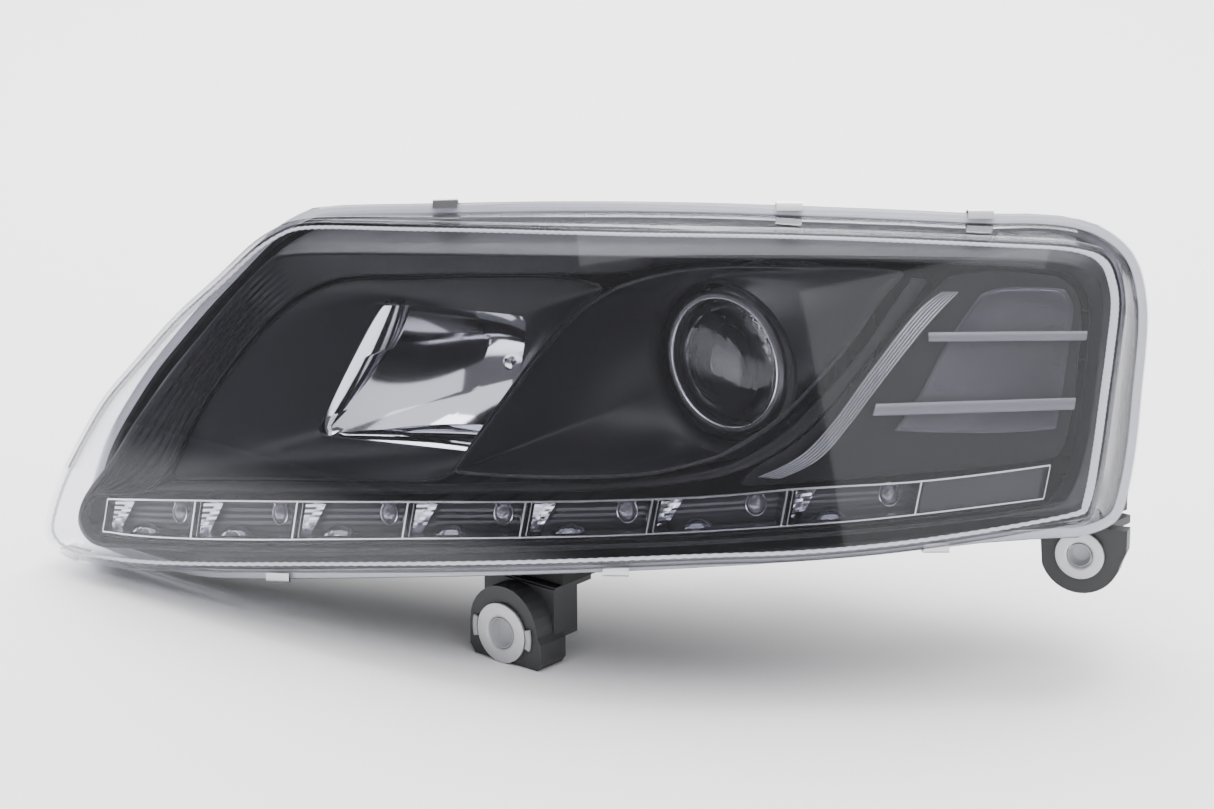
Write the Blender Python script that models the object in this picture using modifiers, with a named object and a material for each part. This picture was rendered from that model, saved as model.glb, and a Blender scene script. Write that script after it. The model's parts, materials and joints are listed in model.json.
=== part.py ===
"""Left front lamp of a large saloon car, built as the assembly that comes apart on a bench.

Frame: the lamp looks along -Y, +Z is up and +X runs towards the wing.  The origin is where the
centre bracket's bolt axis meets its seat face.
"""
import math

import bmesh
import bpy
import numpy as np
from mathutils import Matrix, Vector

for old in list(bpy.data.objects):
    bpy.data.objects.remove(old, do_unlink=True)

MM = 0.001

# ---------------------------------------------------------------- driving dimensions, in mm
# The outer face is styled in its own frame: u along the lamp, v up its face, w out of it.
FACE_YAW = math.radians(40)
FACE_PITCH = math.radians(17)
FACE_CREST_U = 60.0
SWEEP_RADIUS = 250.0
SWEEP_DEPTH = 253.0
WING_CURVE = 2100.0
CROWN_CURVE = 1400.0
LENS_DEPTH = 28.0
LENS_WALL = 2.5
HOUSING_WALL = 3.0
BEZEL_WALL = 2.0
FLANGE = 6.0
GAP = 0.4

REAR_LEFT_X, REAR_LEFT_Y, REAR_SLOPE = -250.0, 118.0, 0.36
REAR_ANGLE = math.atan(REAR_SLOPE)

PROJECTOR = (16.0, 8.0)
RING_FRONT_Y, RING_RADIUS, GLASS_RADIUS = 85.0, 42.6, 37.5
BOWL_BACK_Y = 196.0
HIGH_BEAM = (-118.0, -10.0)
HIGH_VERTEX_Y, HIGH_FOCAL = 85.0, 20.0
HIGH_BASE_Y, LOW_BASE_Y = HIGH_VERTEX_Y + 4.0, BOWL_BACK_Y + 0.5
BULB_BASE_R, CLIP_REACH, CLIP_LIFT = 16.0, 20.0, 4.0
TURN = (145.0, 9.0)
TURN_VERTEX_Y = 235.0
AIM_Y, AIM_Z = 124.0, 5.0
PUSHROD = (-50.0, -42.0)
SIDE_SCREW = (-58.0, 20.0)
LOW_NECK_R, HIGH_NECK_R, TURN_NECK_R = 49.0, 39.0, 17.0
LOW_NECK_Y, HIGH_NECK_Y, TURN_NECK_Y = 252.0, 200.0, 276.0

CENTRE_BOLT = (-74.0, 16.5, -152.0)
SIDE_BOLT = (181.0, 212.0, -105.0)
SIDE_TURN = math.radians(20)
BUSH_FLANGE_R, BUSH_R, BOLT_HOLE_R = 18.2, 13.0, 9.5

# ---------------------------------------------------------------- styling lines, (u, v) in mm
LENS_EDGE = (
    [(-351, -77), (-347, -63), (-340, -46), (-326, -22), (-309, 3), (-285, 28), (-261, 52), (-233, 75),
     (-208, 96), (-191, 105)],
    [(-191, 105), (-181, 107), (-108, 104), (7, 99), (109, 97), (222, 93), (263, 91), (279, 88)],
    [(279, 88), (287, 82), (291, 72), (293, 59), (290, 31), (286, 3), (282, -26), (277, -54), (273, -64)],
    [(273, -64), (222, -73), (165, -81), (108, -86), (52, -88), (-61, -93), (-181, -97), (-245, -99),
     (-286, -99), (-314, -97), (-331, -95), (-343, -90), (-349, -84), (-351, -77)],
)
SEAM_EDGE = (
    [(-336, -80), (-332, -64), (-326, -45), (-317, -22), (-302, 2), (-285, 25), (-268, 44), (-247, 66),
     (-227, 85), (-210, 101), (-196, 111), (-178, 119)],
    [(-178, 119), (-163, 120), (-104, 119), (-27, 118), (53, 116), (110, 114), (167, 112), (216, 110),
     (248, 110), (269, 108), (283, 104)],
    [(283, 104), (296, 96), (306, 84), (312, 57), (308, 3), (305, -26), (301, -49), (296, -65), (289, -71),
     (271, -77)],
    [(271, -77), (225, -79), (167, -85), (110, -90), (-4, -97), (-122, -103), (-218, -107), (-252, -107),
     (-293, -99), (-314, -93), (-327, -89), (-336, -80)],
)
BEZEL_RIDGE = (
    [(-331, -74), (-327, -60), (-305, -33), (-289, -10), (-253, 33), (-220, 69), (-198, 89)],
    [(-198, 89), (-182, 90), (-4, 85), (166, 84), (258, 82), (272, 79)],
    [(272, 79), (282, 71), (284, 60), (280, 14), (274, -26), (268, -46), (262, -57)],
    [(262, -57), (177, -69), (64, -78), (-4, -81), (-120, -85), (-246, -88), (-294, -88), (-322, -86),
     (-331, -74)],
)
BEZEL_MOUTH = (
    [(-324, -72), (-321, -58), (-292, -56), (-271, -45), (-249, -6), (-223, 29), (-204, 50), (-185, 65)],
    [(-185, 65), (-158, 75), (-121, 76), (-27, 75), (8, 75), (36, 80), (64, 82), (109, 82), (155, 81),
     (240, 79), (262, 76)],
    [(262, 76), (272, 69), (276, 58), (273, 14), (267, -26), (262, -42), (255, -52)],
    [(255, -52), (250, -58), (177, -66), (64, -75), (-4, -78), (-120, -82), (-246, -86), (-294, -85),
     (-319, -82), (-324, -72)],
)
WELL_MOUTH = (
    [(-266, -44), (-247, -7), (-221, 27), (-202, 47), (-183, 61)],
    [(-183, 61), (-158, 71), (-121, 72), (-27, 71), (-2, 66)],
    [(-2, 66), (-19, 53), (-42, 28), (-65, -3), (-90, -39)],
    [(-90, -39), (-102, -43), (-182, -43), (-266, -44)],
)
SHROUD_EDGE = (
    [(-88, -39), (-61, -3), (-38, 28), (-15, 53), (7, 67)],
    [(7, 67), (36, 75), (64, 78), (109, 78), (155, 77), (169, 75)],
    [(169, 75), (157, 62), (137, 34), (109, 3), (92, -12), (64, -29)],
    [(64, -29), (30, -38), (-4, -41), (-50, -41), (-88, -39)],
)
LAND_UPPER = [(-266, -47), (-182, -46), (-100, -46), (-50, -44.5), (-4, -44), (30, -41), (68, -34),
              (98, -17.5), (115, -2), (143, 29), (163, 57.5), (173, 72)]
LAND_LOWER = [(-286, -54), (-182, -53), (-61, -51), (-4, -49), (41, -45), (76, -37.5), (106, -21),
              (131, 4), (159, 39), (175, 60), (183, 71)]
TURN_OUTER = (
    [(74, -46), (84, -36), (108, -21), (133, 4), (162, 38), (179, 58), (194, 73)],
    [(194, 73), (220, 76), (240, 75), (258, 73)],
    [(258, 73), (267, 66), (271, 56), (268, 14), (262, -20), (257, -30)],
    [(257, -30), (240, -33), (177, -39), (109, -44), (74, -46)],
)
TURN_WINDOW = (
    [(163, -15), (176, 3), (195, 37), (214, 63)],
    [(214, 63), (222, 66), (250, 67), (261, 66)],
    [(261, 66), (266, 57), (264, 37), (259, 3), (256, -14)],
    [(256, -14), (230, -16), (190, -16), (163, -15)],
)
GUIDE_LEFT = [(85, -41), (109, -29), (126, -12), (149, 19), (177, 54), (190, 64)]
GUIDE_RIGHT = [(98, -42), (120, -31), (137, -12), (156, 13), (181, 44), (200, 64)]
DRL_TOP = [(-313, -58), (-246, -57.5), (-120, -56), (-4, -54), (64, -51), (109, -47), (177, -43), (252, -34)]
DRL_BOTTOM = [(-309, -79.4), (-294, -81), (-246, -82), (-120, -78.5), (-4, -75), (64, -71.5), (137, -66.5),
              (177, -62.5), (248, -54)]
DRL_DIVIDERS = (-251, -185, -117, -48, 24, 100, 176)
DRL_OPTICS = (-264, -198, -130, -62, 9, 82, 158)

# ---------------------------------------------------------------- scene set-up
PARTS = bpy.data.collections.new("car_headlight_assembly")
CUTTERS = bpy.data.collections.new("cutters")
for collection in (PARTS, CUTTERS):
    bpy.context.scene.collection.children.link(collection)


def material(name, colour, roughness, metallic=0.0, transmission=0.0):
    """A Principled material."""
    made = bpy.data.materials.new(name)
    made.use_nodes = True
    shader = made.node_tree.nodes["Principled BSDF"]
    shader.inputs["Base Color"].default_value = (*colour, 1.0)
    shader.inputs["Roughness"].default_value = roughness
    shader.inputs["Metallic"].default_value = metallic
    shader.inputs["Transmission Weight"].default_value = transmission
    return made


CLEAR = material("clear_polycarbonate", (0.86, 0.86, 0.9), 0.05, transmission=0.9)
SATIN_BLACK = material("satin_black_bezel", (0.02, 0.02, 0.024), 0.42)
HOUSING_BLACK = material("housing_black", (0.025, 0.025, 0.027), 0.6)
CHROME = material("vacuum_chrome", (0.82, 0.82, 0.85), 0.08, metallic=1.0)
SILVER = material("bush_silver", (0.72, 0.72, 0.74), 0.38, metallic=1.0)
CLIP_STEEL = material("clip_steel", (0.55, 0.55, 0.58), 0.35, metallic=1.0)
RUBBER = material("seal_rubber", (0.02, 0.02, 0.02), 0.8)
GLASS = material("lens_glass", (0.8, 0.82, 0.86), 0.02, transmission=0.95)
BOARD = material("circuit_board", (0.03, 0.09, 0.05), 0.5)
NYLON = material("natural_nylon", (0.75, 0.73, 0.68), 0.5)
DARK_METAL = material("dark_cast_metal", (0.16, 0.16, 0.17), 0.45, metallic=0.8)
SMOKE = material("smoked_plastic", (0.35, 0.35, 0.4), 0.15, transmission=0.6)

# ---------------------------------------------------------------- bodies
ALONG = np.array((math.cos(FACE_YAW), math.sin(FACE_YAW), 0.0))
OUT = np.array((math.sin(FACE_YAW) * math.cos(FACE_PITCH), -math.cos(FACE_YAW) * math.cos(FACE_PITCH),
                math.sin(FACE_PITCH)))
UP = np.cross(OUT, ALONG)

BODY_ORIGINS = {
    "housing": (0.0, 0.0, 0.0),
    "carrier": (0.0, AIM_Y, AIM_Z),
    "projector": (PROJECTOR[0], AIM_Y, PROJECTOR[1]),
    "pushrod": (PUSHROD[0], 0.0, PUSHROD[1]),
    "vertical_adjuster": (PUSHROD[0], 0.0, PUSHROD[1]),
    "horizontal_adjuster": (SIDE_SCREW[0], 0.0, SIDE_SCREW[1]),
    "low_beam_cap": (PROJECTOR[0], 0.0, PROJECTOR[1]),
    "high_beam_cap": (HIGH_BEAM[0], 0.0, HIGH_BEAM[1]),
    "turn_holder": (TURN[0], 0.0, TURN[1]),
    "high_bulb_clip": (HIGH_BEAM[0] - CLIP_REACH, HIGH_BASE_Y + CLIP_LIFT, HIGH_BEAM[1]),
    "low_bulb_clip": (PROJECTOR[0] - CLIP_REACH, LOW_BASE_Y + CLIP_LIFT, PROJECTOR[1]),
}
BODIES = {}
for body_name, place in BODY_ORIGINS.items():
    empty = bpy.data.objects.new(f"body_{body_name}", None)
    empty.location = (Vector(place) - Vector(CENTRE_BOLT)) * MM
    PARTS.objects.link(empty)
    BODIES[body_name] = empty


def attach(obj, body, shade=None, cutter=False):
    """Hang an object, made about the lamp's own origin, on its body's empty."""
    for held in list(obj.users_collection):
        held.objects.unlink(obj)
    (CUTTERS if cutter else PARTS).objects.link(obj)
    obj.parent = BODIES[body]
    obj.location = obj.location - Vector(BODY_ORIGINS[body]) * MM
    if cutter:
        obj.hide_render = True
        obj.display_type = "WIRE"
    if shade is not None:
        obj.data.materials.clear()
        obj.data.materials.append(shade)
    return obj


def new_mesh(name, bm, smooth=40):
    """An object from a bmesh that holds lamp coordinates in mm."""
    bmesh.ops.scale(bm, vec=(MM, MM, MM), verts=bm.verts)
    mesh = bpy.data.meshes.new(name)
    bm.to_mesh(mesh)
    bm.free()
    mesh.shade_smooth()
    mesh.set_sharp_from_angle(angle=math.radians(smooth))
    obj = bpy.data.objects.new(name, mesh)
    PARTS.objects.link(obj)
    return obj


# ---------------------------------------------------------------- curves and surfaces
def smooth(points, segments):
    """Evenly spaced points along the smooth curve through the given ones."""
    pts = np.array(points, float)
    if len(pts) == 2:
        steps = np.linspace(0, 1, segments + 1)[:, None]
        return pts[0] * (1 - steps) + pts[1] * steps
    knots = np.concatenate(([0], np.cumsum(np.linalg.norm(np.diff(pts, axis=0), axis=1) ** 0.5)))
    slopes = np.diff(pts, axis=0) / np.diff(knots)[:, None]
    left, right = np.diff(knots)[:-1, None], np.diff(knots)[1:, None]
    inner = (slopes[:-1] * right + slopes[1:] * left) / (left + right)
    tangents = np.vstack(([1.5 * slopes[0] - 0.5 * inner[0]], inner, [1.5 * slopes[-1] - 0.5 * inner[-1]]))
    dense = []
    for i, span in enumerate(np.diff(knots)):
        t = np.linspace(0, 1, 17)[:, None]
        dense.append((2 * t**3 - 3 * t**2 + 1) * pts[i] + (t**3 - 2 * t**2 + t) * span * tangents[i]
                     + (3 * t**2 - 2 * t**3) * pts[i + 1] + (t**3 - t**2) * span * tangents[i + 1])
    dense = np.vstack([part[:-1] for part in dense] + [pts[-1:]])
    run = np.concatenate(([0], np.cumsum(np.linalg.norm(np.diff(dense, axis=0), axis=1))))
    want = np.linspace(0, run[-1], segments + 1)
    return np.stack([np.interp(want, run, dense[:, k]) for k in range(dense.shape[1])], axis=1)


def outline(runs, short, long):
    """A closed loop from its left, top, right and bottom runs."""
    parts = [smooth(run, count)[:-1] for run, count in zip(runs, (short, long, short, long))]
    return np.vstack(parts)


def inset(loop, distance):
    """The clockwise loop moved inwards in its own plane."""
    tangent = np.roll(loop, -1, axis=0) - np.roll(loop, 1, axis=0)
    tangent /= np.linalg.norm(tangent, axis=1)[:, None]
    inward = np.stack((tangent[:, 1], -tangent[:, 0]), axis=1)
    return loop + inward * distance


def face_depth(u, v):
    """Depth of the outer face: flat at the crest, swept back at the grille end, curved at the wing."""
    away = FACE_CREST_U - u
    grille = -SWEEP_DEPTH * (np.sqrt(1 + (np.maximum(away, 0) / SWEEP_RADIUS) ** 2) - 1)
    wing = -np.minimum(away, 0) ** 2 / WING_CURVE
    return grille + wing - v**2 / CROWN_CURVE


def to_lamp(u, v, w):
    return np.outer(u, ALONG) + np.outer(v, UP) + np.outer(w, OUT)


def on_face(loop, depth=0.0):
    """Points at a depth behind the outer face."""
    u, v = np.array(loop, float).T
    return to_lamp(u, v, face_depth(u, v) - depth)


def on_seam(loop, depth=0.0):
    """Points at a depth behind the seam between the lens and the housing."""
    u, v = np.array(loop, float).T
    return to_lamp(u, v, face_depth(u - 24.0, v - 8.5) - LENS_DEPTH - depth)


def loft(name, rings, facing=None, caps=(False, False), across=False, closed=True, smooth_angle=40):
    """A surface through matching rings of points; across also joins the last ring to the first."""
    bm = bmesh.new()
    rows = [[bm.verts.new(point) for point in ring] for ring in rings]
    pairs = list(zip(rows, rows[1:])) + ([(rows[-1], rows[0])] if across else [])
    for first, second in pairs:
        count = len(first)
        for i in range(count if closed else count - 1):
            j = (i + 1) % count
            bm.faces.new((first[i], first[j], second[j], second[i]))
    if caps[0]:
        bm.faces.new(rows[0])
    if caps[1]:
        bm.faces.new(rows[-1])
    turn_out(bm, facing)
    return new_mesh(name, bm, smooth_angle)


def turn_out(bm, facing):
    """Point the faces out of a closed body, or the open surface's faces along a direction."""
    bmesh.ops.recalc_face_normals(bm, faces=bm.faces)
    if facing is not None:
        total = sum((face.normal * face.calc_area() for face in bm.faces), Vector())
        if total.dot(Vector(facing)) < 0:
            bmesh.ops.reverse_faces(bm, faces=bm.faces)


def thicken(obj, wall, offset=-1.0):
    """Give an open surface its wall; offset -1 puts it behind the faces, +1 before them."""
    shell = obj.modifiers.new("wall", "SOLIDIFY")
    shell.thickness = wall * MM
    shell.offset = offset
    shell.use_even_offset = True
    shell.use_quality_normals = True
    return obj


def combine(obj, tool, operation):
    """A Boolean between two objects on the same body."""
    step = obj.modifiers.new(operation.lower(), "BOOLEAN")
    step.operation = operation
    step.object = tool
    return obj


def rod(name, radius, start, end, sides=24, radius_end=None):
    """A solid round bar between two lamp points."""
    start, end = Vector(start), Vector(end)
    bm = bmesh.new()
    bmesh.ops.create_cone(bm, cap_ends=True, segments=sides, radius1=radius,
                          radius2=radius if radius_end is None else radius_end, depth=(end - start).length)
    turn = (end - start).to_track_quat("Z", "Y").to_matrix().to_4x4()
    bmesh.ops.transform(bm, matrix=Matrix.Translation((start + end) / 2) @ turn, verts=bm.verts)
    return new_mesh(name, bm)


def block(name, centre, size, bevel=0.0, turn_z=0.0):
    """A box, turned about Z and with its edges rounded."""
    bm = bmesh.new()
    bmesh.ops.create_cube(bm, size=1.0)
    bmesh.ops.scale(bm, vec=size, verts=bm.verts)
    bmesh.ops.transform(bm, matrix=Matrix.Translation(centre) @ Matrix.Rotation(turn_z, 4, "Z"),
                        verts=bm.verts)
    obj = new_mesh(name, bm, 30)
    if bevel:
        edge = obj.modifiers.new("edges", "BEVEL")
        edge.width = bevel * MM
        edge.segments = 2
    return obj


def turned(name, profile, axis_x, axis_z, steps=40):
    """A profile of (radius, y) turned about the lamp's Y direction at (axis_x, axis_z)."""
    area = sum(a[0] * b[1] - b[0] * a[1] for a, b in zip(profile, profile[1:] + profile[:1]))
    points = profile if area < 0 else profile[::-1]
    ring = min(r for r, _ in profile) > 0.01
    mesh = bpy.data.meshes.new(name)
    edges = [(i, i + 1) for i in range(len(points) - 1)] + ([(len(points) - 1, 0)] if ring else [])
    mesh.from_pydata([(r * MM, 0, y * MM) for r, y in points], edges, [])
    obj = bpy.data.objects.new(name, mesh)
    PARTS.objects.link(obj)
    spin = obj.modifiers.new("turn", "SCREW")
    spin.steps = spin.render_steps = steps
    spin.use_merge_vertices = True
    spin.merge_threshold = 0.00001
    spin.use_smooth_shade = True
    obj.location = (axis_x * MM, 0, axis_z * MM)
    obj.rotation_euler = (math.radians(-90), 0, 0)
    return obj


def plate(name, loops, thickness, place):
    """A flat plate from closed outlines in mm (later loops are holes), at a placing matrix."""
    curve = bpy.data.curves.new(name, "CURVE")
    curve.dimensions = "2D"
    curve.fill_mode = "BOTH"
    curve.extrude = thickness * MM / 2
    for points in loops:
        spline = curve.splines.new("POLY")
        spline.points.add(len(points) - 1)
        for knot, (x, y) in zip(spline.points, points):
            knot.co = (x * MM, y * MM, 0, 1)
        spline.use_cyclic_u = True
    return curve_mesh(name, curve, place)


def wire(name, points, radius, cyclic=False, sides=2):
    """A bent wire through lamp points in mm."""
    curve = bpy.data.curves.new(name, "CURVE")
    curve.dimensions = "3D"
    curve.bevel_depth = radius * MM
    curve.bevel_resolution = sides
    curve.use_fill_caps = not cyclic
    spline = curve.splines.new("POLY")
    spline.points.add(len(points) - 1)
    for knot, point in zip(spline.points, points):
        knot.co = (*(Vector(point) * MM), 1)
    spline.use_cyclic_u = cyclic
    return curve_mesh(name, curve, Matrix())


def curve_mesh(name, curve, place):
    """The closed mesh of a curve, with its caps welded on."""
    source = bpy.data.objects.new(name + "_curve", curve)
    PARTS.objects.link(source)
    graph = bpy.context.evaluated_depsgraph_get()
    mesh = bpy.data.meshes.new_from_object(source.evaluated_get(graph))
    bpy.data.objects.remove(source, do_unlink=True)
    bm = bmesh.new()
    bm.from_mesh(mesh)
    bmesh.ops.remove_doubles(bm, verts=bm.verts, dist=0.000002)
    bmesh.ops.transform(bm, matrix=place, verts=bm.verts)
    bmesh.ops.recalc_face_normals(bm, faces=bm.faces)
    bm.to_mesh(mesh)
    bm.free()
    mesh.shade_smooth()
    mesh.set_sharp_from_angle(angle=math.radians(35))
    obj = bpy.data.objects.new(name, mesh)
    PARTS.objects.link(obj)
    return obj


def arc(cx, cy, radius, start, end, count):
    """Points on an arc, in degrees."""
    angles = np.radians(np.linspace(start, end, count))
    return [(cx + radius * math.cos(a), cy + radius * math.sin(a)) for a in angles]


def upright(y):
    """Placing matrix for a plate drawn in X and Z, standing across the lamp at y."""
    return Matrix.Translation((0, y * MM, 0)) @ Matrix.Rotation(math.radians(90), 4, "X")


def rear_y(x):
    """Inner face of the slanted rear wall."""
    return REAR_LEFT_Y + (x - REAR_LEFT_X) * REAR_SLOPE


# ---------------------------------------------------------------- lens, seal and housing
SHORT, LONG = 8, 22
SEAM = outline(SEAM_EDGE, SHORT, LONG)


def outer_lens():
    """Clear cover: a crowned face, a filleted edge, the side wall and the flange."""
    left, top, right, bottom = [smooth(run, count) for run, count in
                                zip(LENS_EDGE, (SHORT, LONG, SHORT, LONG))]
    right, bottom = right[::-1], bottom[::-1]
    bm = bmesh.new()
    grid = []
    for i in range(LONG + 1):
        s = i / LONG
        column = []
        for j in range(SHORT + 1):
            t = j / SHORT
            ruled = (1 - t) * bottom[i] + t * top[i] + (1 - s) * left[j] + s * right[j]
            corners = (1 - s) * ((1 - t) * left[0] + t * left[-1]) + s * ((1 - t) * right[0] + t * right[-1])
            column.append(bm.verts.new(on_face([ruled - corners])[0]))
        grid.append(column)
    for i in range(LONG):
        for j in range(SHORT):
            bm.faces.new((grid[i][j], grid[i + 1][j], grid[i + 1][j + 1], grid[i][j + 1]))
    edge = ([grid[0][j] for j in range(SHORT)] + [grid[i][SHORT] for i in range(LONG)]
            + [grid[LONG][j] for j in range(SHORT, 0, -1)] + [grid[i][0] for i in range(LONG, 0, -1)])
    rim = outline(LENS_EDGE, SHORT, LONG)
    rings = [on_face(inset(rim, -2.4), 2.6), on_seam(inset(SEAM, FLANGE - 0.8), 0), on_seam(SEAM, 0)]
    for ring in rings:
        row = [bm.verts.new(point) for point in ring]
        for i in range(len(row)):
            j = (i + 1) % len(row)
            bm.faces.new((edge[i], edge[j], row[j], row[i]))
        edge = row
    turn_out(bm, OUT)
    lens = thicken(new_mesh("outer_lens", bm, 50), LENS_WALL)
    return attach(lens, "housing", CLEAR)


def lens_seal():
    """Rubber-like sealant ring pressed between the two flanges."""
    rings = [on_seam(inset(SEAM, d), depth) for d, depth in ((1.0, 4.2), (1.0, 5.6), (4.4, 5.6), (4.4, 4.2))]
    return attach(loft("lens_seal", rings, across=True), "housing", RUBBER)


REAR_RUNS = (
    [(-243, -97), (-250, -88), (-250, 10), (-243, 20)],
    [(-243, 20), (-118, 45), (16, 60), (163, 53)],
    [(163, 53), (171, 46), (171, -52), (163, -60)],
    [(163, -60), (16, -78), (-118, -88), (-243, -97)],
)


def rear_housing():
    """Black moulded tub: front flange, tapering walls, a slanted rear wall, necks and fixing pads."""
    rear = outline(REAR_RUNS, SHORT, LONG)
    inner = inset(rear, 9.0)
    rear_edge = np.stack((rear[:, 0], rear_y(rear[:, 0]) - 9.0, rear[:, 1]), axis=1)
    rear_flat = np.stack((inner[:, 0], rear_y(inner[:, 0]), inner[:, 1]), axis=1)
    root = on_seam(inset(SEAM, FLANGE + 2.5), 7.0)
    rings = [on_seam(inset(SEAM, 0.3), 7.0), root, root * 0.55 + rear_edge * 0.45, rear_edge, rear_flat]
    tub = loft("rear_housing", rings, facing=-OUT, caps=(False, True), smooth_angle=35)
    thicken(tub, HOUSING_WALL, 1.0)
    low_x, low_z = PROJECTOR
    high_x, high_z = HIGH_BEAM
    turn_x, turn_z = TURN
    rod_x, rod_z = PUSHROD
    side_x, side_z = SIDE_SCREW
    added = [
        rod("low_neck", LOW_NECK_R, (low_x, 192, low_z), (low_x, LOW_NECK_Y, low_z), 24),
        rod("high_neck", HIGH_NECK_R, (high_x, 148, high_z), (high_x, HIGH_NECK_Y, high_z), 24),
        rod("turn_neck", TURN_NECK_R, (turn_x, 250, turn_z), (turn_x, TURN_NECK_Y, turn_z), 24),
        rod("motor_boss", 24, (rod_x, 186, rod_z), (rod_x, 204, rod_z), 20),
        rod("side_screw_boss", 9, (side_x, 184, side_z), (side_x, 200, side_z), 16),
        block("centre_pad", (CENTRE_BOLT[0], 30, -115), (58, 32, 14)),
        block("side_pad", (170, 242, -77), (30, 26, 22)),
    ]
    removed = [
        rod("low_bore", LOW_NECK_R - 3, (low_x, 180, low_z), (low_x, LOW_NECK_Y + 4, low_z), 24),
        rod("high_bore", HIGH_NECK_R - 3, (high_x, 130, high_z), (high_x, HIGH_NECK_Y + 4, high_z), 24),
        rod("turn_bore", TURN_NECK_R - 3, (turn_x, 240, turn_z), (turn_x, TURN_NECK_Y + 4, turn_z), 24),
        rod("pushrod_bore", 5, (rod_x, 176, rod_z), (rod_x, 210, rod_z), 16),
        rod("side_screw_bore", 3.6, (side_x, 176, side_z), (side_x, 206, side_z), 12),
    ]
    for tool in added:
        combine(tub, attach(tool, "housing", cutter=True), "UNION")
    for tool in removed:
        combine(tub, attach(tool, "housing", cutter=True), "DIFFERENCE")
    return attach(tub, "housing", HOUSING_BLACK)


def lens_clip(name, u, v_edge, side):
    """Spring steel clip that pinches the lens flange to the housing flange."""
    half = 7.5
    front, back, sheet = -1.3, 13.0, 0.8
    outer, tip = 1.7, -4.0
    section = [(outer, front), (outer, back), (tip, back), (tip, back - sheet), (outer - sheet, back - sheet),
               (outer - sheet, front + sheet), (tip, front + sheet), (tip, front)]
    rings = [on_seam([(u + du, v_edge + side * dv) for dv, _ in section]) - np.outer([d for _,
                                                                                      d in section], OUT)
             for du in (-half, half)]
    return attach(loft(name, rings, caps=(True, True), smooth_angle=30), "housing", CLIP_STEEL)


# ---------------------------------------------------------------- bezel pieces behind the lens
def bezel_frame():
    """Black frame that lines the lens wall, rises to a ridge and falls to the mouth."""
    ridge = outline(BEZEL_RIDGE, 11, 20)
    mouth = outline(BEZEL_MOUTH, 11, 20)
    foot = outline(SEAM_EDGE, 11, 20)
    rings = [on_seam(inset(foot, 14.0), -2.0), on_face(ridge, 13.0), on_face(inset(ridge, 1.5), 12.0),
             on_face(mouth, 19.0)]
    return attach(thicken(loft("bezel_frame", rings, facing=OUT), BEZEL_WALL), "housing", SATIN_BLACK)


def rounded_rectangle(x0, x1, z0, z1, short, long):
    """Clockwise loop in X and Z with softened corners, starting at the lower left."""
    c = 8.0
    runs = ([(x0 + c, z0), (x0 + 2, z0 + 2), (x0, z0 + c), (x0, z1 - c), (x0 + 2, z1 - 2), (x0 + c, z1)],
            [(x0 + c, z1), (x1 - c, z1)],
            [(x1 - c, z1), (x1 - 2, z1 - 2), (x1, z1 - c), (x1, z0 + c), (x1 - 2, z0 + 2), (x1 - c, z0)],
            [(x1 - c, z0), (x0 + c, z0)])
    return outline(runs, short, long)


def high_rim_y(x, z):
    """Slanted front plane of the high-beam reflector."""
    return -30.0 + (x + 200.0) * 0.37 + (z + 54.0) * 0.29


def high_beam_well():
    """Funnel from the bezel's mouth down to the high-beam reflector."""
    mouth = outline(WELL_MOUTH, 8, 10)
    hole = rounded_rectangle(-191, -84, -49, 30, 8, 10)
    back = np.stack((hole[:, 0], high_rim_y(hole[:, 0], hole[:, 1]) - 8.0, hole[:, 1]), axis=1)
    front = on_face(mouth, 24.0)
    rings = [front, front * 0.5 + back * 0.5, back]
    return attach(thicken(loft("high_beam_well", rings, facing=OUT), BEZEL_WALL), "housing", SATIN_BLACK)


def projector_shroud():
    """Almond-shaped surround whose surface sinks to the projector's ring."""
    edge = on_face(outline(SHROUD_EDGE, 10, 11), 16.0)
    x0, z0 = PROJECTOR
    start = edge - np.array((x0, 0, z0))
    angles = np.arctan2(start[:, 2], start[:, 0])
    angles = np.unwrap(angles)
    even = np.linspace(angles[0], angles[0] + math.copysign(2 * math.pi, angles[-1] - angles[0]),
                       len(angles) + 1)[:-1]
    angles = 0.35 * angles + 0.65 * even
    wing = (np.cos(angles) + 1) / 2
    reach = 49.0 + 5.5 * wing
    lip = np.stack((x0 + reach * np.cos(angles), 75.0 + 8.0 * wing**2, z0 + reach * np.sin(angles)), axis=1)
    ring = np.stack((x0 + 46.6 * np.cos(angles), np.full(len(angles), RING_FRONT_Y + 1.5),
                     z0 + 46.6 * np.sin(angles)), axis=1)
    rings = [edge, edge * 0.55 + lip * 0.45 - 3.0 * OUT, lip, ring]
    return attach(thicken(loft("projector_shroud", rings, facing=OUT), BEZEL_WALL), "housing", SATIN_BLACK)


def strip(name, upper, lower, front, back, count, shade, body="housing"):
    """A curved bar between two styling lines, from one depth to another."""
    top, low = smooth(upper, count), smooth(lower, count)
    corners = (on_face(top, front), on_face(low, front), on_face(low, back), on_face(top, back))
    sections = [np.array([corner[i] for corner in corners]) for i in range(count + 1)]
    return attach(loft(name, sections, caps=(True, True), smooth_angle=30), body, shade)


def light_guide():
    """Clear fluted strip that follows the swoosh, six flutes across."""
    count, flutes = 10, 6
    left, right = smooth(GUIDE_LEFT, count), smooth(GUIDE_RIGHT, count)
    sections = []
    for i in range(count + 1):
        across = [left[i] + (right[i] - left[i]) * k / (2 * flutes) for k in range(2 * flutes + 1)]
        front = [on_face([point], 14.0 + 1.3 * (k % 2 == 0))[0] for k, point in enumerate(across)]
        rear = [on_face([point], 19.5)[0] for point in (right[i], left[i])]
        sections.append(np.array(front + rear))
    return attach(loft("light_guide", sections, caps=(True, True), smooth_angle=20), "housing", CLEAR)


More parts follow.
